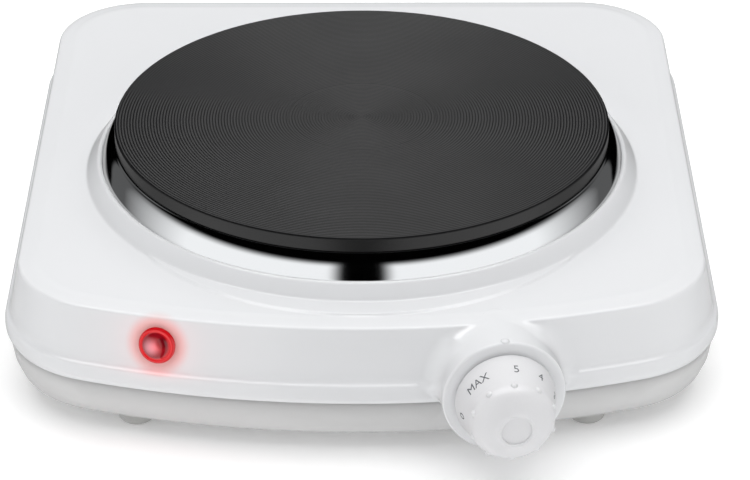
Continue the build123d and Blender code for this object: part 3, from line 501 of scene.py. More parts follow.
def soft_max(a, b, width):
    """The larger of two heights, rounded where they cross."""
    share = np.clip(0.5 + 0.5 * (a - b) / width, 0, 1)
    return b + (a - b) * share + width * share * (1 - share)


def deck_height(x, y):
    """Height of the deck, its crescent and its raised seat."""
    inside = np.clip((PAD_R - np.hypot(x, y + PAD_SHIFT)) / PAD_EDGE, 0, 1)
    pad = DECK_Z + PAD_RISE * inside * inside * (3 - 2 * inside)
    cone = HUMP_TOP - (np.hypot(x, y) - HUMP_R + HUMP_IN) * HUMP_SLOPE
    cone = -soft_max(-cone, np.full_like(cone, -HUMP_TOP), TOP_SOFTNESS)
    return soft_max(cone, pad, FOOT_SOFTNESS)


spots = np.array([HUMP_R - 1, HUMP_R + 10])
print("seat and deck heights, mm:", np.round(deck_height(spots, 0 * spots), 2))

# %% [markdown]
# The side of the housing is a short list of (outwards, down) points: a band that slopes gently
# to the deck edge, a tight rounding that catches the light as a thin line, a leaning apron, and
# a flange that rolls out and back in over the base.

# %% Section of the housing's side
SHEET = 1.2
SEAM_Z = 21.5
BAND_IN = 7.1
EDGE_R = 1.5
EDGE_DROP = 0.85

rounding = [
    (-EDGE_R + EDGE_R * sin(radians(step)), -EDGE_DROP - EDGE_R * (1 - cos(radians(step))))
    for step in range(10, 81, 10)
]
apron = [(0.35, -3.4), (1.9, -12.0), (2.9, -17.0), (3.35, -19.9), (4.2, -20.9), (5.2, -21.5),
         (5.6, -22.9), (5.7, -25.0), (5.6, -26.8), (4.7, -28.5)]
side = np.vstack([rounding[:-1], eased([rounding[-1]] + apron, 2)])
side[:, 1] += DECK_Z


def outline_row(out, z):
    """The outline grown by `out`, at one height or at a height for each point."""
    return np.column_stack([edge_points + edge_facing * out, np.broadcast_to(z, AROUND)])


def side_offset(z):
    """How far the housing's outer side lies outside the deck edge at a height."""
    heights = np.concatenate([side[::-1, 1], [DECK_Z]])
    return np.interp(z, heights, np.concatenate([side[::-1, 0], [-BAND_IN]]))


print("side section points:", len(side), "widest", round(float(side[:, 0].max()), 2))

# %% [markdown]
# The whole sheet is one closed skin: up the outside, over the deck to the seat, down to the
# ledge that the ring stands on, and back along the inside a sheet's thickness away. Every row
# has the same number of points, so the rows join without a seam.

# %% Housing skin
OPENING_R = 97.6
LEDGE_R = 91.0
LEDGE_Z = 53.7
DECK_ROWS = 36
SEAT_ROWS = 18
SEAT_OUT_R = 104.6

band_edge = edge_points - edge_facing * BAND_IN
reach = np.hypot(band_edge[:, 0], band_edge[:, 1])
towards = band_edge / reach[:, None]


def ring_row(radius, z=None):
    """A circle of points that face the outline's points, on the deck or at a given height."""
    spots = towards * np.broadcast_to(radius, AROUND)[:, None]
    height = deck_height(spots[:, 0], spots[:, 1]) if z is None else np.full(AROUND, float(z))
    return np.column_stack([spots, height])


rows = [outline_row(out, z) for out, z in side[::-1]]
for out in (-3.0, -4.5, -6.0):
    slope = DECK_Z - EDGE_DROP * (BAND_IN + out) / (BAND_IN - EDGE_R)
    spots = edge_points + edge_facing * out
    rows.append(outline_row(out, np.maximum(slope, deck_height(*spots.T) - EDGE_DROP * 0.6)))
rows += [ring_row(reach * share + SEAT_OUT_R * (1 - share)) for share in np.linspace(1, 0, DECK_ROWS)]
rows += [ring_row(radius) for radius in np.linspace(SEAT_OUT_R, OPENING_R + 0.7, SEAT_ROWS)[1:]]
lip = [(OPENING_R + 0.35, HUMP_TOP - 0.12), (OPENING_R + 0.1, HUMP_TOP - 0.35), (OPENING_R, HUMP_TOP - 0.8),
       (OPENING_R, LEDGE_Z + 0.3), (OPENING_R - 0.3, LEDGE_Z), (LEDGE_R, LEDGE_Z), (LEDGE_R, LEDGE_Z - SHEET),
       (OPENING_R + SHEET, LEDGE_Z - SHEET), (OPENING_R + SHEET + 0.2, HUMP_TOP - SHEET),
       (HUMP_R + 2.0, DECK_Z - SHEET)]
rows += [ring_row(radius, z) for radius, z in lip]
rows.append(outline_row(-BAND_IN, DECK_Z - SHEET))
rows += [outline_row(out - SHEET, z - SHEET * (z > DECK_Z - 4)) for out, z in side[::3]]
rows.append(outline_row(side[-1, 0] - SHEET, SEAM_Z))
housing = new_piece("enamelled_housing", [skin(rows, closed=True)], enamel)

# %% [markdown]
# The knob stands on a round collar that the press draws out of the apron. The front is bowed, so
# the knob faces a little to one side. The CAD joint gives its axis, and the collar, the knob and
# its figures are each made upright in a frame of their own and then moved to their place.

# %% The knob's frame, from the CAD joint
turn_joint = next(joint for joint in frame["joints"] if joint["name"] == "knob_turn")
knob_out = -Vector(turn_joint["axis"]).normalized()
knob_place = Vector(turn_joint["pos_m"]) / MM


def frame_at(place, out):
    """A 4 by 4 matrix with Z along `out`, X level and to the right, and its origin at place."""
    side_way = Vector((-out.y, out.x, 0)).normalized()
    up = out.cross(side_way)
    turn = Matrix((side_way, up, out)).transposed().to_4x4()
    turn.translation = place
    return turn


knob_frame = frame_at(knob_place, knob_out)
print("knob frame, mm:", [round(value, 2) for value in knob_place], "facing", [round(v, 3) for v in knob_out])

# %% [markdown]
# Where a drawn tube leaves a wall there is always a fillet, because the sheet cannot bend
# sharply. A fillet that changes all the way round is hard to draw by hand, and easy to find as a
# surface of equal distance. The distance to the wall and the distance to the housing's side are
# joined by a soft minimum, and lines are sent out from a ring inside the metal until that
# distance is nought. Near the deck and near the seam the softness shrinks, so the fillet dies
# away there.

# %% Distance to the housing's side
COLLAR_R = 21.7
FILLET = 6.5
LEAST_FILLET = 0.2
FADE_OVER_SEAM = 6.0
FADE_UNDER_DECK = 5.5
DECK_MARGIN = 0.4
LINE_INWARDS = 60.0
LINE_DOWN = 30.0

section_line = np.vstack(
    [[(-LINE_INWARDS, DECK_Z), (-BAND_IN, DECK_Z)], side, [(side[-1, 0], SEAM_Z - LINE_DOWN)]])


def side_distance(out, z):
    """Distance to the housing's side in its section, negative inside the metal's outline."""
    spots = np.stack([out, z], -1)[..., None, :]
    start, run = section_line[:-1], np.diff(section_line, axis=0)
    share = np.clip(((spots - start) * run).sum(-1) / (run * run).sum(-1), 0, 1)
    nearest = np.linalg.norm(spots - start - share[..., None] * run, axis=-1).min(-1)
    within = (z < DECK_Z) & (out < side_offset(z))
    return np.where(within, -nearest, nearest)


def eased_step(value):
    """A smooth rise from 0 to 1."""
    value = np.clip(value, 0, 1)
    return value * value * (3 - 2 * value)


def blended_distance(radius, depth, across, up):
    """Distance to collar and housing joined softly, for points in the knob's frame."""
    z = knob_place.z + radius * up
    axis_reach = np.hypot(knob_place.x, knob_place.y - BOW_CENTRE_Y)
    out = np.hypot(radius * across, axis_reach + depth) - FRONT_BOW_R
    body, wall = side_distance(out, z), radius - COLLAR_R
    low_fade = eased_step((z - SEAM_Z) / FADE_OVER_SEAM)
    width = LEAST_FILLET + FILLET * low_fade * eased_step((DECK_Z + DECK_MARGIN - z) / FADE_UNDER_DECK)
    return -soft_max(-body, -wall, width)


print("softness of the fillet, mm:", LEAST_FILLET, "to", LEAST_FILLET + FILLET)

# %% [markdown]
# The collar's rows start at the hole for the thermostat's bush, cross the flat face, roll over
# the rim and follow the fillet out onto the apron, where they end a hair proud of it. Then they
# turn inwards and run back inside, a sheet's thickness away, so the shell is closed. Each line
# of the fan is walked along by the distance that is left, which stops it at the surface.

# %% Knob collar
COLLAR_STEPS = 240
FAN_STEPS = 34
WALK_STEPS = 60
WALK_PACE = 0.9
SPINE_IN = 6.0
FAN_REACH = 9.0
PROUD = 0.03
COLLAR_DEPTH = -32.0
BUSH_HOLE_R = 5.1
RIM_R = 0.9
CUT_R = COLLAR_R - SHEET


def collar_rows():
    """Rows of the collar, from its face's hole out over the rim, back to the apron and inside."""
    turn = np.arange(COLLAR_STEPS) * 2 * pi / COLLAR_STEPS
    across, up = np.cos(turn), np.sin(turn)

    def row(radius, depth):
        radius, depth = (np.broadcast_to(value, COLLAR_STEPS) for value in (radius, depth))
        return moved(np.column_stack([radius * across, radius * up, depth]), knob_frame)

    made = [row(BUSH_HOLE_R, -SHEET), row(BUSH_HOLE_R, 0), row(COLLAR_R - RIM_R - 0.5, 0)]
    roll = np.radians(range(0, 91, 15))
    made += [row(COLLAR_R - RIM_R * (1 - sin(angle)), -RIM_R * (1 - cos(angle))) for angle in roll]
    wall_z = knob_place.z + COLLAR_R * up
    axis_reach = np.hypot(knob_place.x, knob_place.y - BOW_CENTRE_Y)
    root = np.sqrt((FRONT_BOW_R + side_offset(wall_z)) ** 2 - (COLLAR_R * across) ** 2) - axis_reach
    spine_r, spine_z = COLLAR_R - SPINE_IN, root - SPINE_IN
    first = np.arctan2(SPINE_IN, -RIM_R - 0.6 - spine_z)
    above_seam = (knob_place.z - SEAM_Z - 0.1) / np.maximum(-up, 0.05) - COLLAR_R
    last = np.arctan2(SPINE_IN + np.clip(above_seam, 0, FAN_REACH), SPINE_IN)
    for share in np.linspace(0, 1, FAN_STEPS):
        lean = first * (1 - share) + last * share
        far = np.zeros(COLLAR_STEPS)
        for _ in range(WALK_STEPS):
            radius, depth = spine_r + far * np.sin(lean), spine_z + far * np.cos(lean)
            far -= blended_distance(radius, depth, across, up) * WALK_PACE
        lift = PROUD * share
        made.append(row(radius + lift * np.sin(lean), depth + lift * np.cos(lean)))
    made += [row(radius - 0.5, depth - 1.0), row(COLLAR_R - 0.1, COLLAR_DEPTH), row(CUT_R, COLLAR_DEPTH),
             row(CUT_R, -SHEET)]
    return made


collar = new_piece("knob_collar", [skin(collar_rows(), closed=True)], enamel)

# %% [markdown]
# Inside the collar the apron is open, and the lamp needs its own hole. Both are cut with a
# boolean, and both cut edges lie hidden, one under the collar's fillet and one under the lens.

# %% The lamp's frame, and holes in the housing
LAMP_X = -70.7
LAMP_BELOW_DECK = 11.0
APRON_FLARE = 3.4
FLARE_DROP = 19.2
LEAN_DROP = 17.0
LAMP_TILT = atan2(APRON_FLARE, LEAN_DROP)
LAMP_HOLE_R = 5.0

lamp_turn = asin(LAMP_X / FRONT_BOW_R)
lamp_reach = FRONT_BOW_R + APRON_FLARE * LAMP_BELOW_DECK / FLARE_DROP
lamp_place = Vector((lamp_reach * sin(lamp_turn), BOW_CENTRE_Y - lamp_reach * cos(lamp_turn),
                     DECK_Z - LAMP_BELOW_DECK))
lamp_out = Vector((sin(lamp_turn) * cos(LAMP_TILT), -cos(lamp_turn) * cos(LAMP_TILT), sin(LAMP_TILT)))
lamp_frame = frame_at(lamp_place, lamp_out)


def cut(piece, section, place):
    """Cut a turned shape out of a piece."""
    tool = new_piece("cutter", [lathe(section, 96, axis_place=place)], enamel)
    modifier = piece.modifiers.new("cut", "BOOLEAN")
    modifier.operation, modifier.object, modifier.solver = "DIFFERENCE", tool, "EXACT"
    done = bpy.data.meshes.new_from_object(piece.evaluated_get(bpy.context.evaluated_depsgraph_get()))
    piece.modifiers.remove(modifier)
    piece.data = done
    bpy.data.objects.remove(tool)


cut(housing, [(0, 2), (CUT_R + 0.4, 2), (CUT_R + 0.4, -44), (0, -44)], knob_frame)
cut(housing, [(0, 4), (LAMP_HOLE_R, 4), (LAMP_HOLE_R, -6), (0, -6)], lamp_frame)
finish_mesh(housing, enamel)
stand_for(housing, "burner_body", "white_enamel", "top_housing")
stand_for(collar, "burner_body", "white_enamel", "top_housing")

# %% [markdown]
# A lit lamp reddens the white enamel round it. Such a small light would need many samples to
# draw that softly, so its light is painted into the enamel's colour as a pink tint, which fades
# with the distance from the lamp.

# %% Painted glow on the enamel
HALO_NEAR = 6.8
HALO_FAR = 12.5
HALO_SHARE = 0.95

tree = enamel.node_tree
paint = tree.nodes["Principled BSDF"].inputs["Base Color"]
spot = add_node(tree, "ShaderNodeTexCoord").outputs["Object"]
away = add_node(tree, "ShaderNodeVectorMath", {0: spot, 1: lamp_place * MM}, operation="DISTANCE")
fade = add_node(tree, "ShaderNodeMapRange", {
    "Value": away.outputs["Value"], "From Min": HALO_NEAR * MM, "From Max": HALO_FAR * MM,
    "To Min": HALO_SHARE, "To Max": 0}, interpolation_type="SMOOTHSTEP")
# Painted light: the lamp's pink glow mixed into the enamel's colour, strongest next to the lens.
painted_glow = add_node(tree, "ShaderNodeMix", {
    "Factor": fade.outputs["Result"], "A": paint.links[0].from_socket, "B": colour("F0B0AC")},
    data_type="RGBA")
tree.links.new(painted_glow.outputs["Result"], paint)
print("halo round the lamp fades out, mm:", HALO_NEAR, "to", HALO_FAR)

# %% [markdown]
# A small nib on top of the collar's rim, at twelve o'clock, shows the setting. It is a low
# rounded lozenge, half sunk in the wall, and made from outlines that shrink as they rise.

# %% Pointer nib
NIB_HALF = (1.5, 1.25)
NIB_RISE = 0.7
NIB_BACK = -1.35
NIB_STEPS = 32
NIB_SQUARENESS = 0.8


def nib_rows():
    """Rows of the nib's outline, from its sunk base up to its small top."""
    turn = np.arange(NIB_STEPS) * 2 * pi / NIB_STEPS
    wide, long = [np.sign(wave) * np.abs(wave) ** NIB_SQUARENESS * half
                  for wave, half in zip((np.cos(turn), np.sin(turn)), NIB_HALF)]
    levels = [(0.0, -1.0), (1.0, -1.0)] + [(cos(a), NIB_RISE * sin(a)) for a in np.radians(range(0, 91, 15))]
    return [moved(np.column_stack([wide * size, np.full(NIB_STEPS, COLLAR_R + rise), NIB_BACK + long * size]),
                  knob_frame) for size, rise in levels]


nib = new_piece("setting_nib", [skin(nib_rows())], enamel)
stand_for(nib, "burner_body", "white_enamel", "top_housing")

# %% [markdown]
# Geometry Nodes suit what repeats or follows a rule. A group gets named inputs for its sizes, so
# that one tree can make the same thing at another size. The result is kept as a plain mesh, which
# the export needs, and the modifier goes.

# %% Geometry Nodes groups


def new_group(name, inputs):
    """A Geometry Nodes group with named inputs and one geometry output."""
    tree = bpy.data.node_groups.new(name, "GeometryNodeTree")
    tree.interface.new_socket(name="Geometry", in_out="OUTPUT", socket_type="NodeSocketGeometry")
    for label, kind in inputs.items():
        tree.interface.new_socket(name=label, in_out="INPUT", socket_type="NodeSocket" + kind)
    return tree, add_node(tree, "NodeGroupInput"), add_node(tree, "NodeGroupOutput")


def finish_group(tree, geometry, given, result):
    """End a group: make its instances real, give them its finish, and send them out."""
    real = add_node(tree, "GeometryNodeRealizeInstances", {"Geometry": geometry})
    coated = add_node(tree, "GeometryNodeSetMaterial", {
        "Geometry": real.outputs[0], "Material": given.outputs["Finish"]})
    tree.links.new(coated.outputs[0], result.inputs[0])


def bake(name, tree, inputs):
    """Run a node group on an empty mesh and keep what it makes as a plain mesh object."""
    piece = bpy.data.objects.new(name, bpy.data.meshes.new(name + "_start"))
    bpy.context.scene.collection.objects.link(piece)
    modifier = piece.modifiers.new("nodes", "NODES")
    modifier.node_group = tree
    sockets = {item.name: item.identifier for item in tree.interface.items_tree if item.in_out == "INPUT"}
    for label, value in inputs.items():
        modifier[sockets[label]] = value
    made = bpy.data.meshes.new_from_object(piece.evaluated_get(bpy.context.evaluated_depsgraph_get()))
    piece.modifiers.remove(modifier)
    piece.data = made
    print(name, "points", len(made.vertices), "faces", len(made.polygons))
    return piece


# %% [markdown]
# The plate's face is turned on a lathe, so its shape is a rule: the height depends only on the
# distance from the axis. The tree makes it from a flat grid, whose one side becomes the radius
# and the other the angle. Every second ring is lower, which is the tool's groove. A ring four
# times as deep marks off the middle, as on most such plates.

# %% Turned face of the plate, in Geometry Nodes
PLATE_TOP = 70.0
PLATE_R = 92.5
PLATE_EASE = 0.8
PLATE_SEGMENTS = 256
GROOVE_DEPTH = 0.024
MIDDLE_R = 27.3
FACE_R = PLATE_R - PLATE_EASE

face_tree, given, result = new_group("turned_face", {
    "Radius": "Float", "Height": "Float", "Groove Pitch": "Float", "Groove Depth": "Float",
    "Middle Radius": "Float", "Rings": "Int", "Segments": "Int", "Finish": "Material"})
flat = add_node(face_tree, "GeometryNodeInputPosition")
spot = add_node(face_tree, "ShaderNodeSeparateXYZ", {0: flat.outputs[0]})
known = {socket.name: socket for socket in [*given.outputs, *spot.outputs] if socket.name}
work_out(face_tree, known, [
    ("columns", "ADD", "Segments", 1),
    ("share", "ADD", "X", 0.5),
    ("turn", "ADD", "Y", 0.5),
    ("angle", "MULTIPLY", "turn", 2 * pi),
    ("radius", "MULTIPLY", "share", "Radius"),
    ("half pitch", "MULTIPLY", "Groove Pitch", 0.5),
    ("from edge", "SUBTRACT", "Radius", "radius"),
    ("half pitches", "DIVIDE", "from edge", "half pitch"),
    ("wave", "PINGPONG", "half pitches", 1.0),
    ("at middle", "COMPARE", "radius", "Middle Radius", "half pitch"),
    ("deeper", "MULTIPLY_ADD", "at middle", 3.0, 1.0),
    ("groove", "MULTIPLY", "wave", "deeper"),
    ("drop", "MULTIPLY", "groove", "Groove Depth"),
    ("cosine", "COSINE", "angle"),
    ("sine", "SINE", "angle"),
    ("right", "MULTIPLY", "radius", "cosine"),
    ("back", "MULTIPLY", "radius", "sine"),
    ("up", "SUBTRACT", "Height", "drop"),
])
grid = add_node(face_tree, "GeometryNodeMeshGrid", {
    "Size X": 1.0, "Size Y": 1.0, "Vertices X": known["Rings"], "Vertices Y": known["columns"]})
place = add_node(face_tree, "ShaderNodeCombineXYZ", {
    "X": known["right"], "Y": known["back"], "Z": known["up"]})
turned = add_node(face_tree, "GeometryNodeSetPosition", {
    "Geometry": grid.outputs["Mesh"], "Position": place.outputs[0]})
joined = add_node(face_tree, "GeometryNodeMergeByDistance", {"Geometry": turned.outputs[0], "Distance": 1e-6})
finish_group(face_tree, joined.outputs[0], given, result)

ring_count = 2 * int(FACE_R / GROOVE_PITCH) + 1
face = bake("turned_face", face_tree, {
    "Radius": FACE_R * MM, "Height": PLATE_TOP * MM, "Groove Pitch": 2 * FACE_R * MM / (ring_count - 1),
    "Groove Depth": GROOVE_DEPTH * MM, "Middle Radius": MIDDLE_R * MM, "Rings": ring_count,
    "Segments": PLATE_SEGMENTS, "Finish": iron})

# %% [markdown]
# The rest of the casting is a turned section: an eased edge, the side, a narrower skirt below
# the ring, and the underside with three grooves for the heating coils and a tapped hole for the
# clamping stud. It is joined to the face along their common circle.

# %% The casting below the face
SIDE_FOOT = 64.4
SKIRT_R = 89.5
UNDERSIDE = 54.0
COIL_GROOVES = (74.0, 56.0, 38.0)
COIL_GROOVE_HALF = 4.0
COIL_GROOVE_TOP = 62.0
STUD_HOLE_R = 3.0

rim = [(PLATE_R - PLATE_EASE * (1 - sin(a)), PLATE_TOP - PLATE_EASE * (1 - cos(a)))
       for a in np.radians(range(0, 91, 15))]
section = rim + [(PLATE_R, SIDE_FOOT + 0.5), (PLATE_R - 0.4, SIDE_FOOT),
                 (SKIRT_R, SIDE_FOOT), (SKIRT_R, UNDERSIDE)]
for middle in COIL_GROOVES:
    outer, inner = middle + COIL_GROOVE_HALF, middle - COIL_GROOVE_HALF
    section += [(outer, UNDERSIDE), (outer, COIL_GROOVE_TOP), (inner, COIL_GROOVE_TOP), (inner, UNDERSIDE)]
section += [(STUD_HOLE_R, UNDERSIDE), (STUD_HOLE_R, COIL_GROOVE_TOP), (0, COIL_GROOVE_TOP)]
face_points = np.array([vertex.co for vertex in face.data.vertices]) / MM
face_quads = [list(polygon.vertices) for polygon in face.data.polygons]
plate = new_piece("turned_iron_plate", [(face_points, face_quads), lathe(section, PLATE_SEGMENTS)], iron)
bpy.data.objects.remove(face)
stand_for(plate, "burner_body", "cast_iron", "hot_plate")

# %% [markdown]
# The overflow ring is spun from thin chromed steel. It rises to a small bead close to the iron,
# and from there it falls outwards in one long curve to the seat ledge. One section, drawn out
# along the outside and back along the inside, is turned round the axis.

# %% Chromed ring
RING_R = 97.2
RING_SHEET = 0.7
RING_FOOT = 3.4
RING_SEGMENTS = 288

over = eased([(91.6, 63.5), (92.2, 64.2), (92.75, 64.6), (93.2, 64.1), (93.7, 63.7), (94.7, 62.5),
              (95.7, 60.8), (96.5, 58.7), (RING_R, 56.4), (RING_R, 55.4)], 3)
foot = [(RING_R, LEDGE_Z), (RING_R - RING_FOOT, LEDGE_Z), (RING_R - RING_FOOT, LEDGE_Z + RING_SHEET),
        (RING_R - RING_SHEET, LEDGE_Z + RING_SHEET)]
under = [(r - RING_SHEET * 0.8, z - RING_SHEET) for r, z in over[::-3]]
section = [*map(tuple, over), *foot, *under]
ring = new_piece("domed_chrome_ring", [lathe(section, RING_SEGMENTS, closed=True)], chrome)
stand_for(ring, "burner_body", "chromed_steel", "trim_ring")

# %% [markdown]
# The knob is one moulding: a cone that carries the figures, a shoulder, a domed front that
# narrows to a nose with a sunk cap, and a hollow back with a hub for the spindle. All of it is
# round, so it is turned as one closed section, in the knob's own frame.

# %% Knob moulding
SKIRT = 17.6
SKIRT_END = 3.0
SHOULDER = 14.9
SHOULDER_Z = 13.5
CONE_END = (SHOULDER + 0.15, SHOULDER_Z - 0.6)
NOSE_Z = 22.46
CAP_R = 5.2
KNOB_GAP = 0.8
HUB_R = 5.5
HUB_BACK = KNOB_GAP + 2.6
SPINDLE_R = 3.0
SPINDLE_TIP = 14.1
KNOB_WALL = 2.0

cone = [(SKIRT, KNOB_GAP + 0.35), (SKIRT, SKIRT_END), CONE_END]
dome = [(0.05, 0.6), (-0.1, 2.3), (-1.1, 4.4), (-3.2, 6.4)]
nose = [(3.2, -1.3), (1.7, -0.75), (1.15, -0.02), (0.55, 0), (0.1, -0.1), (0, -0.75)]
front = eased([cone[-1], *[(SHOULDER + out, SHOULDER_Z + up) for out, up in dome],
               *[(CAP_R + out, NOSE_Z + up) for out, up in nose]], 3)
cap = [(CAP_R - 0.15, NOSE_Z - 0.75), (CAP_R - 0.6, NOSE_Z - 0.7), (0, NOSE_Z - 0.55)]
back = [(0, SPINDLE_TIP), (SPINDLE_R, SPINDLE_TIP), (SPINDLE_R, HUB_BACK), (HUB_R, HUB_BACK),
        (HUB_R, SPINDLE_TIP + 0.4), (SHOULDER - KNOB_WALL - 1, SPINDLE_TIP + 0.4),
        (SKIRT - KNOB_WALL, SKIRT_END), (SKIRT - KNOB_WALL, KNOB_GAP), (SKIRT - 0.35, KNOB_GAP)]
section = back + cone[:2] + [*map(tuple, front)] + cap
knob = new_piece("dial_knob", [lathe(section, 192, axis_place=knob_frame)], moulding, crease=32)
stand_for(knob, "knob", "white_plastic", "control_knob")

# %% [markdown]
# Ten small beads stand on the shoulder for grip, more than half sunk in it. They repeat at an
# even pitch round a circle, so Geometry Nodes put one bead on each point of a circle.

# %% Grip beads, in Geometry Nodes
BEADS = 10
BEAD_R = 1.3
BEAD_IN = 0.7
BEAD_UP = 2.2

bead_tree, given, result = new_group("beads_on_a_circle", {
    "Circle Radius": "Float", "Bead Radius": "Float", "Count": "Int", "Finish": "Material"})
circle = add_node(bead_tree, "GeometryNodeMeshCircle", {
    "Vertices": given.outputs["Count"], "Radius": given.outputs["Circle Radius"]})
bead = add_node(bead_tree, "GeometryNodeMeshUVSphere", {
    "Segments": 20, "Rings": 12, "Radius": given.outputs["Bead Radius"]})
placed = add_node(bead_tree, "GeometryNodeInstanceOnPoints", {
    "Points": circle.outputs["Mesh"], "Instance": bead.outputs["Mesh"]})
finish_group(bead_tree, placed.outputs[0], given, result)
beads = bake("grip_beads", bead_tree, {
    "Circle Radius": (SHOULDER - BEAD_IN) * MM, "Bead Radius": BEAD_R * MM, "Count": BEADS,
    "Finish": moulding})
lift = Matrix(knob_frame)
lift.translation = knob_frame.translation * MM
start_up = Matrix.Rotation(pi / 2, 4, "Z")
beads.data.transform(lift @ Matrix.Translation((0, 0, (SHOULDER_Z + BEAD_UP) * MM)) @ start_up)
finish_mesh(beads, moulding)
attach(beads, "knob")

# %% [markdown]
# The figures are printed on the cone. Each is set as flat text, made a mesh, and wrapped: its
# width becomes an angle round the knob and its height a distance along the cone. A hair's
# thickness of ink keeps it a closed shape. Only plain figures and the word MAX are used.

# %% Dial figures
FIGURES = {"MAX": -44, "5": 8, "4": 42, "3": 76, "2": 110, "1": 144, "0": 266}
FIGURE_SIZE = 4.455
FIGURE_Z = 8.2
INK_MM = 0.05


def cone_radius(depth):
    """The cone's radius at a distance from the collar's face."""
    share = (depth - SKIRT_END) / (CONE_END[1] - SKIRT_END)
    return SKIRT + (CONE_END[0] - SKIRT) * share


def figure_shell(text, degrees_round):
    """Points and faces of one figure, wrapped on the cone."""
    curve = bpy.data.curves.new("figure", "FONT")
    curve.body, curve.size, curve.align_x, curve.align_y = text, FIGURE_SIZE, "CENTER", "CENTER"
    curve.extrude, curve.resolution_u = INK_MM / 2, 4
    flat = bpy.data.objects.new("figure", curve)
    bpy.context.scene.collection.objects.link(flat)
    mesh = bpy.data.meshes.new_from_object(flat.evaluated_get(bpy.context.evaluated_depsgraph_get()))
    bpy.data.objects.remove(flat)
    spots = np.array([vertex.co for vertex in mesh.vertices])
    depth = FIGURE_Z - spots[:, 1]
    radius = cone_radius(depth) + spots[:, 2] + INK_MM * 0.3
    turn = radians(degrees_round) + spots[:, 0] / cone_radius(FIGURE_Z)
    wrapped = np.column_stack([radius * np.sin(turn), radius * np.cos(turn), depth])
    return moved(wrapped, knob_frame), [list(polygon.vertices) for polygon in mesh.polygons]


shells = [figure_shell(text, place) for text, place in FIGURES.items()]
figures = new_piece("dial_figures", shells, ink)
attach(figures, "knob")

# %% [markdown]
# The pilot lamp's lens is a clear red moulding with a glow lamp behind it. Its rim is thicker
# and carries the light round, so it looks brighter than the dome. A pink spot off centre is a
# painted reflection of a studio light, and a dark spot beside it is painted shade. Light that
# leaves the lens itself gives all of this, in three soft round patches.

# %% Red lens
LENS_R = 6.6
LENS_DOME = 2.6
# Each patch is ((right, up), full within, gone beyond), in millimetres from the lens's axis.
DOME_PATCH = ((-0.4, 0.2), 4.3, 5.2)
# Painted reflection: a soft pink spot in the emission colour that stands in for a studio light mirrored in
# the dome.
PAINTED_REFLECTION_PATCH = ((-1.7, -0.4), 0.4, 4.0)
# Painted shade: a dark spot in the emission colour beside the pink one.
PAINTED_SHADE_PATCH = ((2.3, 1.6), 1.0, 2.8)
FROST_MM = 0.8

lens_finish, tree, shader = start_material(
    "clear_red_moulding", IOR=1.5, Roughness=0.16, Coat_Weight=0.2, Coat_Roughness=0.08,
    Emission_Strength=0.55)
place = add_node(tree, "ShaderNodeTexCoord").outputs["Object"]
local = add_node(tree, "ShaderNodeMapping", {
    "Location": lamp_place * MM, "Rotation": lamp_frame.to_euler(), "Vector": place}, vector_type="TEXTURE")


def patch(centre, full, gone):
    """A value that is 1 near a line along the lens's axis and fades out."""
    right, up = centre
    flat = add_node(tree, "ShaderNodeMapping", {
        "Location": (-right * MM, -up * MM, 0), "Scale": (1, 1, 0), "Vector": local.outputs[0]})
    far = add_node(tree, "ShaderNodeVectorMath", {0: flat.outputs[0]}, operation="LENGTH").outputs["Value"]
    limits = {"Value": far, "From Min": full * MM, "From Max": gone * MM, "To Min": 1, "To Max": 0}
    return add_node(tree, "ShaderNodeMapRange", limits, interpolation_type="SMOOTHSTEP").outputs["Result"]


dome_share = patch(*DOME_PATCH)
# The pink spot, a painted reflection, mixed into the lens's emission colour.
painted_reflection = add_node(tree, "ShaderNodeMix", {
    "Factor": patch(*PAINTED_REFLECTION_PATCH), "A": colour("9A0A18"), "B": colour("FFB6C0")}, data_type="RGBA")
# The dark spot, painted shade, mixed over it.
shaded = add_node(tree, "ShaderNodeMix", {
    "Factor": patch(*PAINTED_SHADE_PATCH), "A": painted_reflection.outputs["Result"], "B": colour("4A0008")}, data_type="RGBA")
rimmed = add_node(tree, "ShaderNodeMix", {
    "Factor": dome_share, "A": colour("CC1018"), "B": shaded.outputs["Result"]}, data_type="RGBA")
tree.links.new(rimmed.outputs["Result"], shader.inputs["Emission Color"])
drive(tree, shader, (dome_share, "8E0810", "500510"), bump=(grain(tree, place, FROST_MM), 0.01))
finishes["red_lens"] = lens_finish

outside = [(LAMP_HOLE_R - 0.1, -6.8), (LAMP_HOLE_R - 0.1, 0.05), (LENS_R - 0.1, 0.05)]
dome = eased([(LENS_R, 0.15), (LENS_R, 0.9), (LENS_R - 0.35, 1.35), (LENS_R - 0.9, 1.5),
              (LENS_R - 1.35, 1.25), (LENS_R - 1.75, 1.3), (LENS_R - 2.6, 2.0), (LENS_R - 4.2, 2.5),
              (0, LENS_DOME)], 3)
inside = [(0, 0.9), (LAMP_HOLE_R - 1.0, 0.2), (LAMP_HOLE_R - 1.0, -6.8)]
section = [*outside, *map(tuple, dome), *inside]
shell = lathe(section, 96, closed=True, axis_place=lamp_frame)
lens = new_piece("signal_lens", [shell], lens_finish, crease=50)
stand_for(lens, "burner_body", "red_lens", "lamp_lens")

# %% [markdown]
# Four feet are the same moulding at four places, so one turned foot is put on four points by
# Geometry Nodes. Each has a rounded rim and a deep recess for its screw.

# %% Feet
FOOT_R = 6.4
FOOT_RECESS = 3.4
FOOT_TOP = 6.0
RECESS_R = 3.8
SCREW_R = 2.0
FEET = ["foot_front_left", "foot_front_right", "foot_rear_left", "foot_rear_right"]


def centre_of(node):
    """The middle of a CAD node's box."""
    low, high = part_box(node)
    return (low + high) / 2


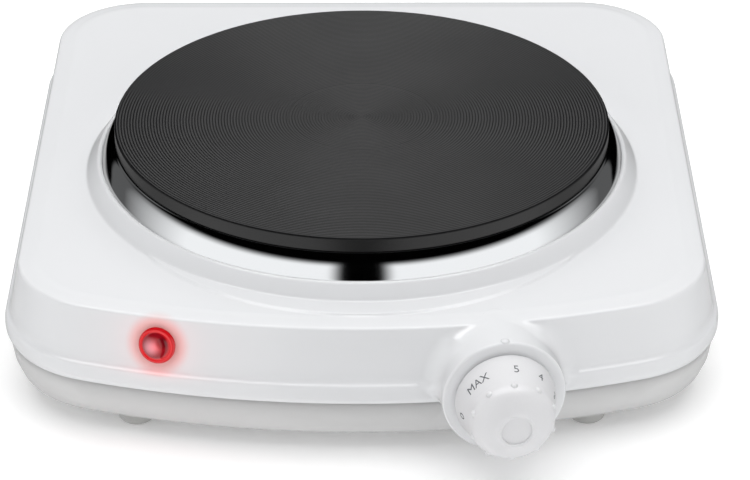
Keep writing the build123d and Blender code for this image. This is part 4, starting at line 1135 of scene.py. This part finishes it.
def copies_at(name, source, places, material):
    """One mesh made of copies of a source object at some places, through Geometry Nodes."""
    tree, given, result = new_group(name + "_copies", {
        "Source": "Object", "Points": "Object", "Finish": "Material"})
    spots = add_node(tree, "GeometryNodeObjectInfo", {"Object": given.outputs["Points"]})
    part = add_node(tree, "GeometryNodeObjectInfo", {"Object": given.outputs["Source"]})
    placed = add_node(tree, "GeometryNodeInstanceOnPoints", {
        "Points": spots.outputs["Geometry"], "Instance": part.outputs["Geometry"]})
    finish_group(tree, placed.outputs[0], given, result)
    cloud = bpy.data.objects.new(name + "_points", bpy.data.meshes.new(name + "_points"))
    cloud.data.from_pydata([tuple(place) for place in places], [], [])
    piece = bake(name, tree, {"Source": source, "Points": cloud, "Finish": material})
    bpy.data.objects.remove(cloud)
    bpy.data.objects.remove(source)
    return finish_mesh(piece, material)


outside = eased([(FOOT_R + 0.4, FOOT_TOP), (FOOT_R + 0.3, 3.0), (FOOT_R + 0.1, 1.2), (FOOT_R - 0.6, 0.2),
                 (FOOT_R - 1.6, 0.0)], 3)
inside = [(RECESS_R + 0.2, 0.0), (RECESS_R, 0.2), (RECESS_R, FOOT_RECESS), (SCREW_R, FOOT_RECESS),
          (SCREW_R, FOOT_TOP)]
section = [*map(tuple, outside), *inside]
one_foot = new_piece("one_foot", [lathe(section, 64, closed=True)], finishes["foot_rubber"])
places = [Vector((*centre_of(node).xy, 0)) for node in FEET]
feet = copies_at("rubber_feet", one_foot, places, finishes["foot_rubber"])
stand_for(feet, "burner_body", "foot_rubber", *FEET)

# %% [markdown]
# The base pan and the cord bushing have the right shape in CAD, but their meshes are flat facets.
# A copy of each is merged and shaded smooth up to a crease angle, which keeps the real edges.

# %% Smooth copies of CAD shapes


def smooth_copy(name, node, slot, crease=30):
    """A merged and smooth-shaded copy of a CAD node that stands for it."""
    source = frame["nodes"][node]
    mesh = source.data.copy()
    work = bmesh.new()
    work.from_mesh(mesh)
    bmesh.ops.remove_doubles(work, verts=work.verts, dist=2e-6)
    work.to_mesh(mesh)
    work.free()
    piece = bpy.data.objects.new(name, mesh)
    bpy.context.scene.collection.objects.link(piece)
    finish_mesh(piece, finishes[slot], crease)
    stand_for(piece, source["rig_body"], slot, node)
    return piece


smooth_copy("enamelled_base_pan", "base_pan", "base_enamel")
smooth_copy("cord_bushing", "cord_gland", "gland_rubber")

# %% [markdown]
# Everything else keeps its CAD mesh and only takes its finish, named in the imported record.

# %% Finishes on the CAD nodes
slots = {row["node"]: row["material_slot"] for row in frame["record"]["subparts"]}
for node, piece in frame["nodes"].items():
    piece.data.materials.clear()
    piece.data.materials.append(finishes[slots[node]])
print("CAD nodes with a finish:", len(slots))

# %% [markdown]
# The studio is plain: a white paper floor, and a world that is white where the camera looks past
# the floor and an even fill for everything else. The floor and most pieces are hidden from
# mirror rays. Only the plate and the ring show in reflections, so the chrome keeps clean bands.

# %% Floor
FLOOR_HALF = 4

floor_mesh = bpy.data.meshes.new("studio_floor")
corners = [(-FLOOR_HALF, -FLOOR_HALF, 0), (FLOOR_HALF, -FLOOR_HALF, 0), (FLOOR_HALF, FLOOR_HALF, 0),
           (-FLOOR_HALF, FLOOR_HALF, 0)]
floor_mesh.from_pydata(corners, [], [(0, 1, 2, 3)])
floor = bpy.data.objects.new("studio_floor", floor_mesh)
bpy.context.scene.collection.objects.link(floor)
paper, tree, shader = start_material(
    "white_paper", Roughness=0.9, Specular_IOR_Level=0.0, Base_Color=(0.95, 0.95, 0.95, 1),
    Emission_Color=(1, 1, 1, 1), Emission_Strength=0.15)
floor.data.materials.append(paper)
floor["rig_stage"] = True
floor.visible_glossy = False
for piece in [*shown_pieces(), *frame["nodes"].values()]:
    piece.visible_glossy = piece in (plate, ring)
print("pieces that show in reflections:", plate.name, ring.name)

# %% [markdown]
# Chrome has no colour of its own, and shows only what stands round it. A studio puts a tall
# white panel at each side, and the gap between them in front becomes the dark band. Here the
# panels are painted on the world, for mirror rays only, by the direction that a ray leaves in:
# how far round from the front it goes, and how high. The table shows as a low pale band behind.

# %% Panels for the mirror rays
FILL = 0.24
BACKDROP = 1.02
PANEL = 1.1
TABLE = 0.45

bpy.context.scene.view_settings.view_transform = "Standard"
world = bpy.data.worlds.new("studio")
bpy.context.scene.world = world
world.use_nodes = True
tree = world.node_tree
tree.nodes.clear()

way = add_node(tree, "ShaderNodeSeparateXYZ", {0: add_node(tree, "ShaderNodeTexCoord").outputs["Generated"]})
known = work_out(tree, {socket.name: socket for socket in way.outputs}, [
    ("to the front", "MULTIPLY", "Y", -1.0),
    ("round", "ARCTAN2", "X", "to the front"),
    ("round way", "ABSOLUTE", "round"),
])
# Each edge is (name, what runs, its start, its end, brightness there and there, how it changes).
EDGES = [
    ("front end", "round way", radians(7), radians(15), 0, 1, "SMOOTHSTEP"),
    ("falling off", "round way", radians(78), radians(120), 1, 0.10, "LINEAR"),
    ("back end", "round way", radians(134), radians(138), 1, 0, "SMOOTHSTEP"),
    ("top", "Z", 0.24, 0.60, 1, 0, "SMOOTHSTEP"),
    ("table edge", "Z", -0.38, -0.30, TABLE, 0, "SMOOTHSTEP"),
    ("behind", "round way", radians(60), radians(90), 0, 1, "SMOOTHSTEP"),
]
for name, runs, start, end, low, high, change in EDGES:
    limits = {"Value": known[runs], "From Min": start, "From Max": end, "To Min": low, "To Max": high}
    known[name] = add_node(tree, "ShaderNodeMapRange", limits, interpolation_type=change).outputs["Result"]
work_out(tree, known, [
    ("sides", "MULTIPLY", "front end", "falling off"),
    ("cut at back", "MULTIPLY", "sides", "back end"),
    ("cut at top", "MULTIPLY", "cut at back", "top"),
    ("panels", "MULTIPLY", "cut at top", PANEL),
    ("table", "MULTIPLY", "table edge", "behind"),
    ("mirrored", "MAXIMUM", "panels", "table"),
])
path = add_node(tree, "ShaderNodeLightPath")
seen = add_node(tree, "ShaderNodeMix", {
    "Factor": path.outputs["Is Glossy Ray"], "A": FILL, "B": known["mirrored"]}).outputs[0]
strength = add_node(tree, "ShaderNodeMix", {
    "Factor": path.outputs["Is Camera Ray"], "A": seen, "B": BACKDROP}).outputs[0]
back = add_node(tree, "ShaderNodeBackground", {"Color": (1, 1, 1, 1), "Strength": strength})
add_node(tree, "ShaderNodeOutputWorld", {"Surface": back.outputs[0]})
print("panel edges:", len(EDGES))

# %% [markdown]
# The light is soft: a wide box overhead, and a long low one at each side in front. Some lights
# work on one finish only, as a card or a flag does in a real studio. A strip above draws the
# bright lines on the enamel's edges. A tall box behind, and a weaker one in front, show the
# turning on the iron, and a weak strip lights its rim. Light linking keeps each off the rest.

# %% Lights
MIDDLE = (0, 0, 0.05)
enamels = (enamel, moulding, finishes["base_enamel"])
enamelled = [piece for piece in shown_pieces() if piece.data.materials[0] in enamels]

# name, place, width, height, watts, seen in reflections, lights matt surfaces, only on
BOXES = [
    ("overhead", (0, 0.5, 2.2), 3.6, 3.6, 76, False, True, None),
    ("left_box", (-1.09, -0.76, 0.75), 1.5, 0.8, 3.5, False, True, None),
    ("right_box", (1.09, -0.76, 0.75), 1.5, 0.8, 3.5, False, True, None),
    ("edge_strip", (0, -0.2, 1.6), 2.4, 0.9, 24, True, False, enamelled),
    ("back_box", (0, 1.7, 1.15), 0.5, 1.8, 2.4, True, True, [plate]),
    ("front_box", (0, -1.7, 1.15), 0.5, 1.8, 1.2, True, True, [plate]),
    ("rim_strip", (0, -0.2, 1.6), 2.4, 0.9, 0.8, True, False, [plate]),
]

for name, place, width, height, watts, glossy, diffuse, pieces in BOXES:
    light = bpy.data.lights.new(name, "AREA")
    light.shape, light.size, light.size_y, light.energy = "RECTANGLE", width, height, watts
    box = bpy.data.objects.new(name, light)
    bpy.context.scene.collection.objects.link(box)
    box.location = place
    box.rotation_euler = (Vector(MIDDLE) - Vector(place)).to_track_quat("-Z", "Y").to_euler()
    box.visible_camera, box.visible_glossy, box.visible_diffuse = False, glossy, diffuse
    if pieces:
        receivers = bpy.data.collections.new(name + "_receivers")
        for piece in pieces:
            receivers.objects.link(piece)
        box.light_linking.receiver_collection = receivers
print("boxes:", len(BOXES))

# %% [markdown]
# The lamp lights its surroundings very weakly. A small red point in front of the lens does that,
# and the halo is left to the glow painted into the enamel's colour.

# %% Glow of the lamp
GLOW_OUT = 5.0

glow_light = bpy.data.lights.new("lamp_glow", "POINT")
glow_light.energy, glow_light.color, glow_light.shadow_soft_size = 0.002, (1.0, 0.05, 0.06), 0.002
glow_lamp = bpy.data.objects.new("lamp_glow", glow_light)
bpy.context.scene.collection.objects.link(glow_lamp)
glow_lamp.location = (lamp_place + lamp_out * GLOW_OUT) * MM
glow_lamp.visible_glossy = False
print("lamp glow at, m:", [round(value, 4) for value in glow_lamp.location])

# %% [markdown]
# The box round all the shown pieces is printed.

low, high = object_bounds()
print("visual box, m:", [round(value, 4) for value in (*low, *high)])
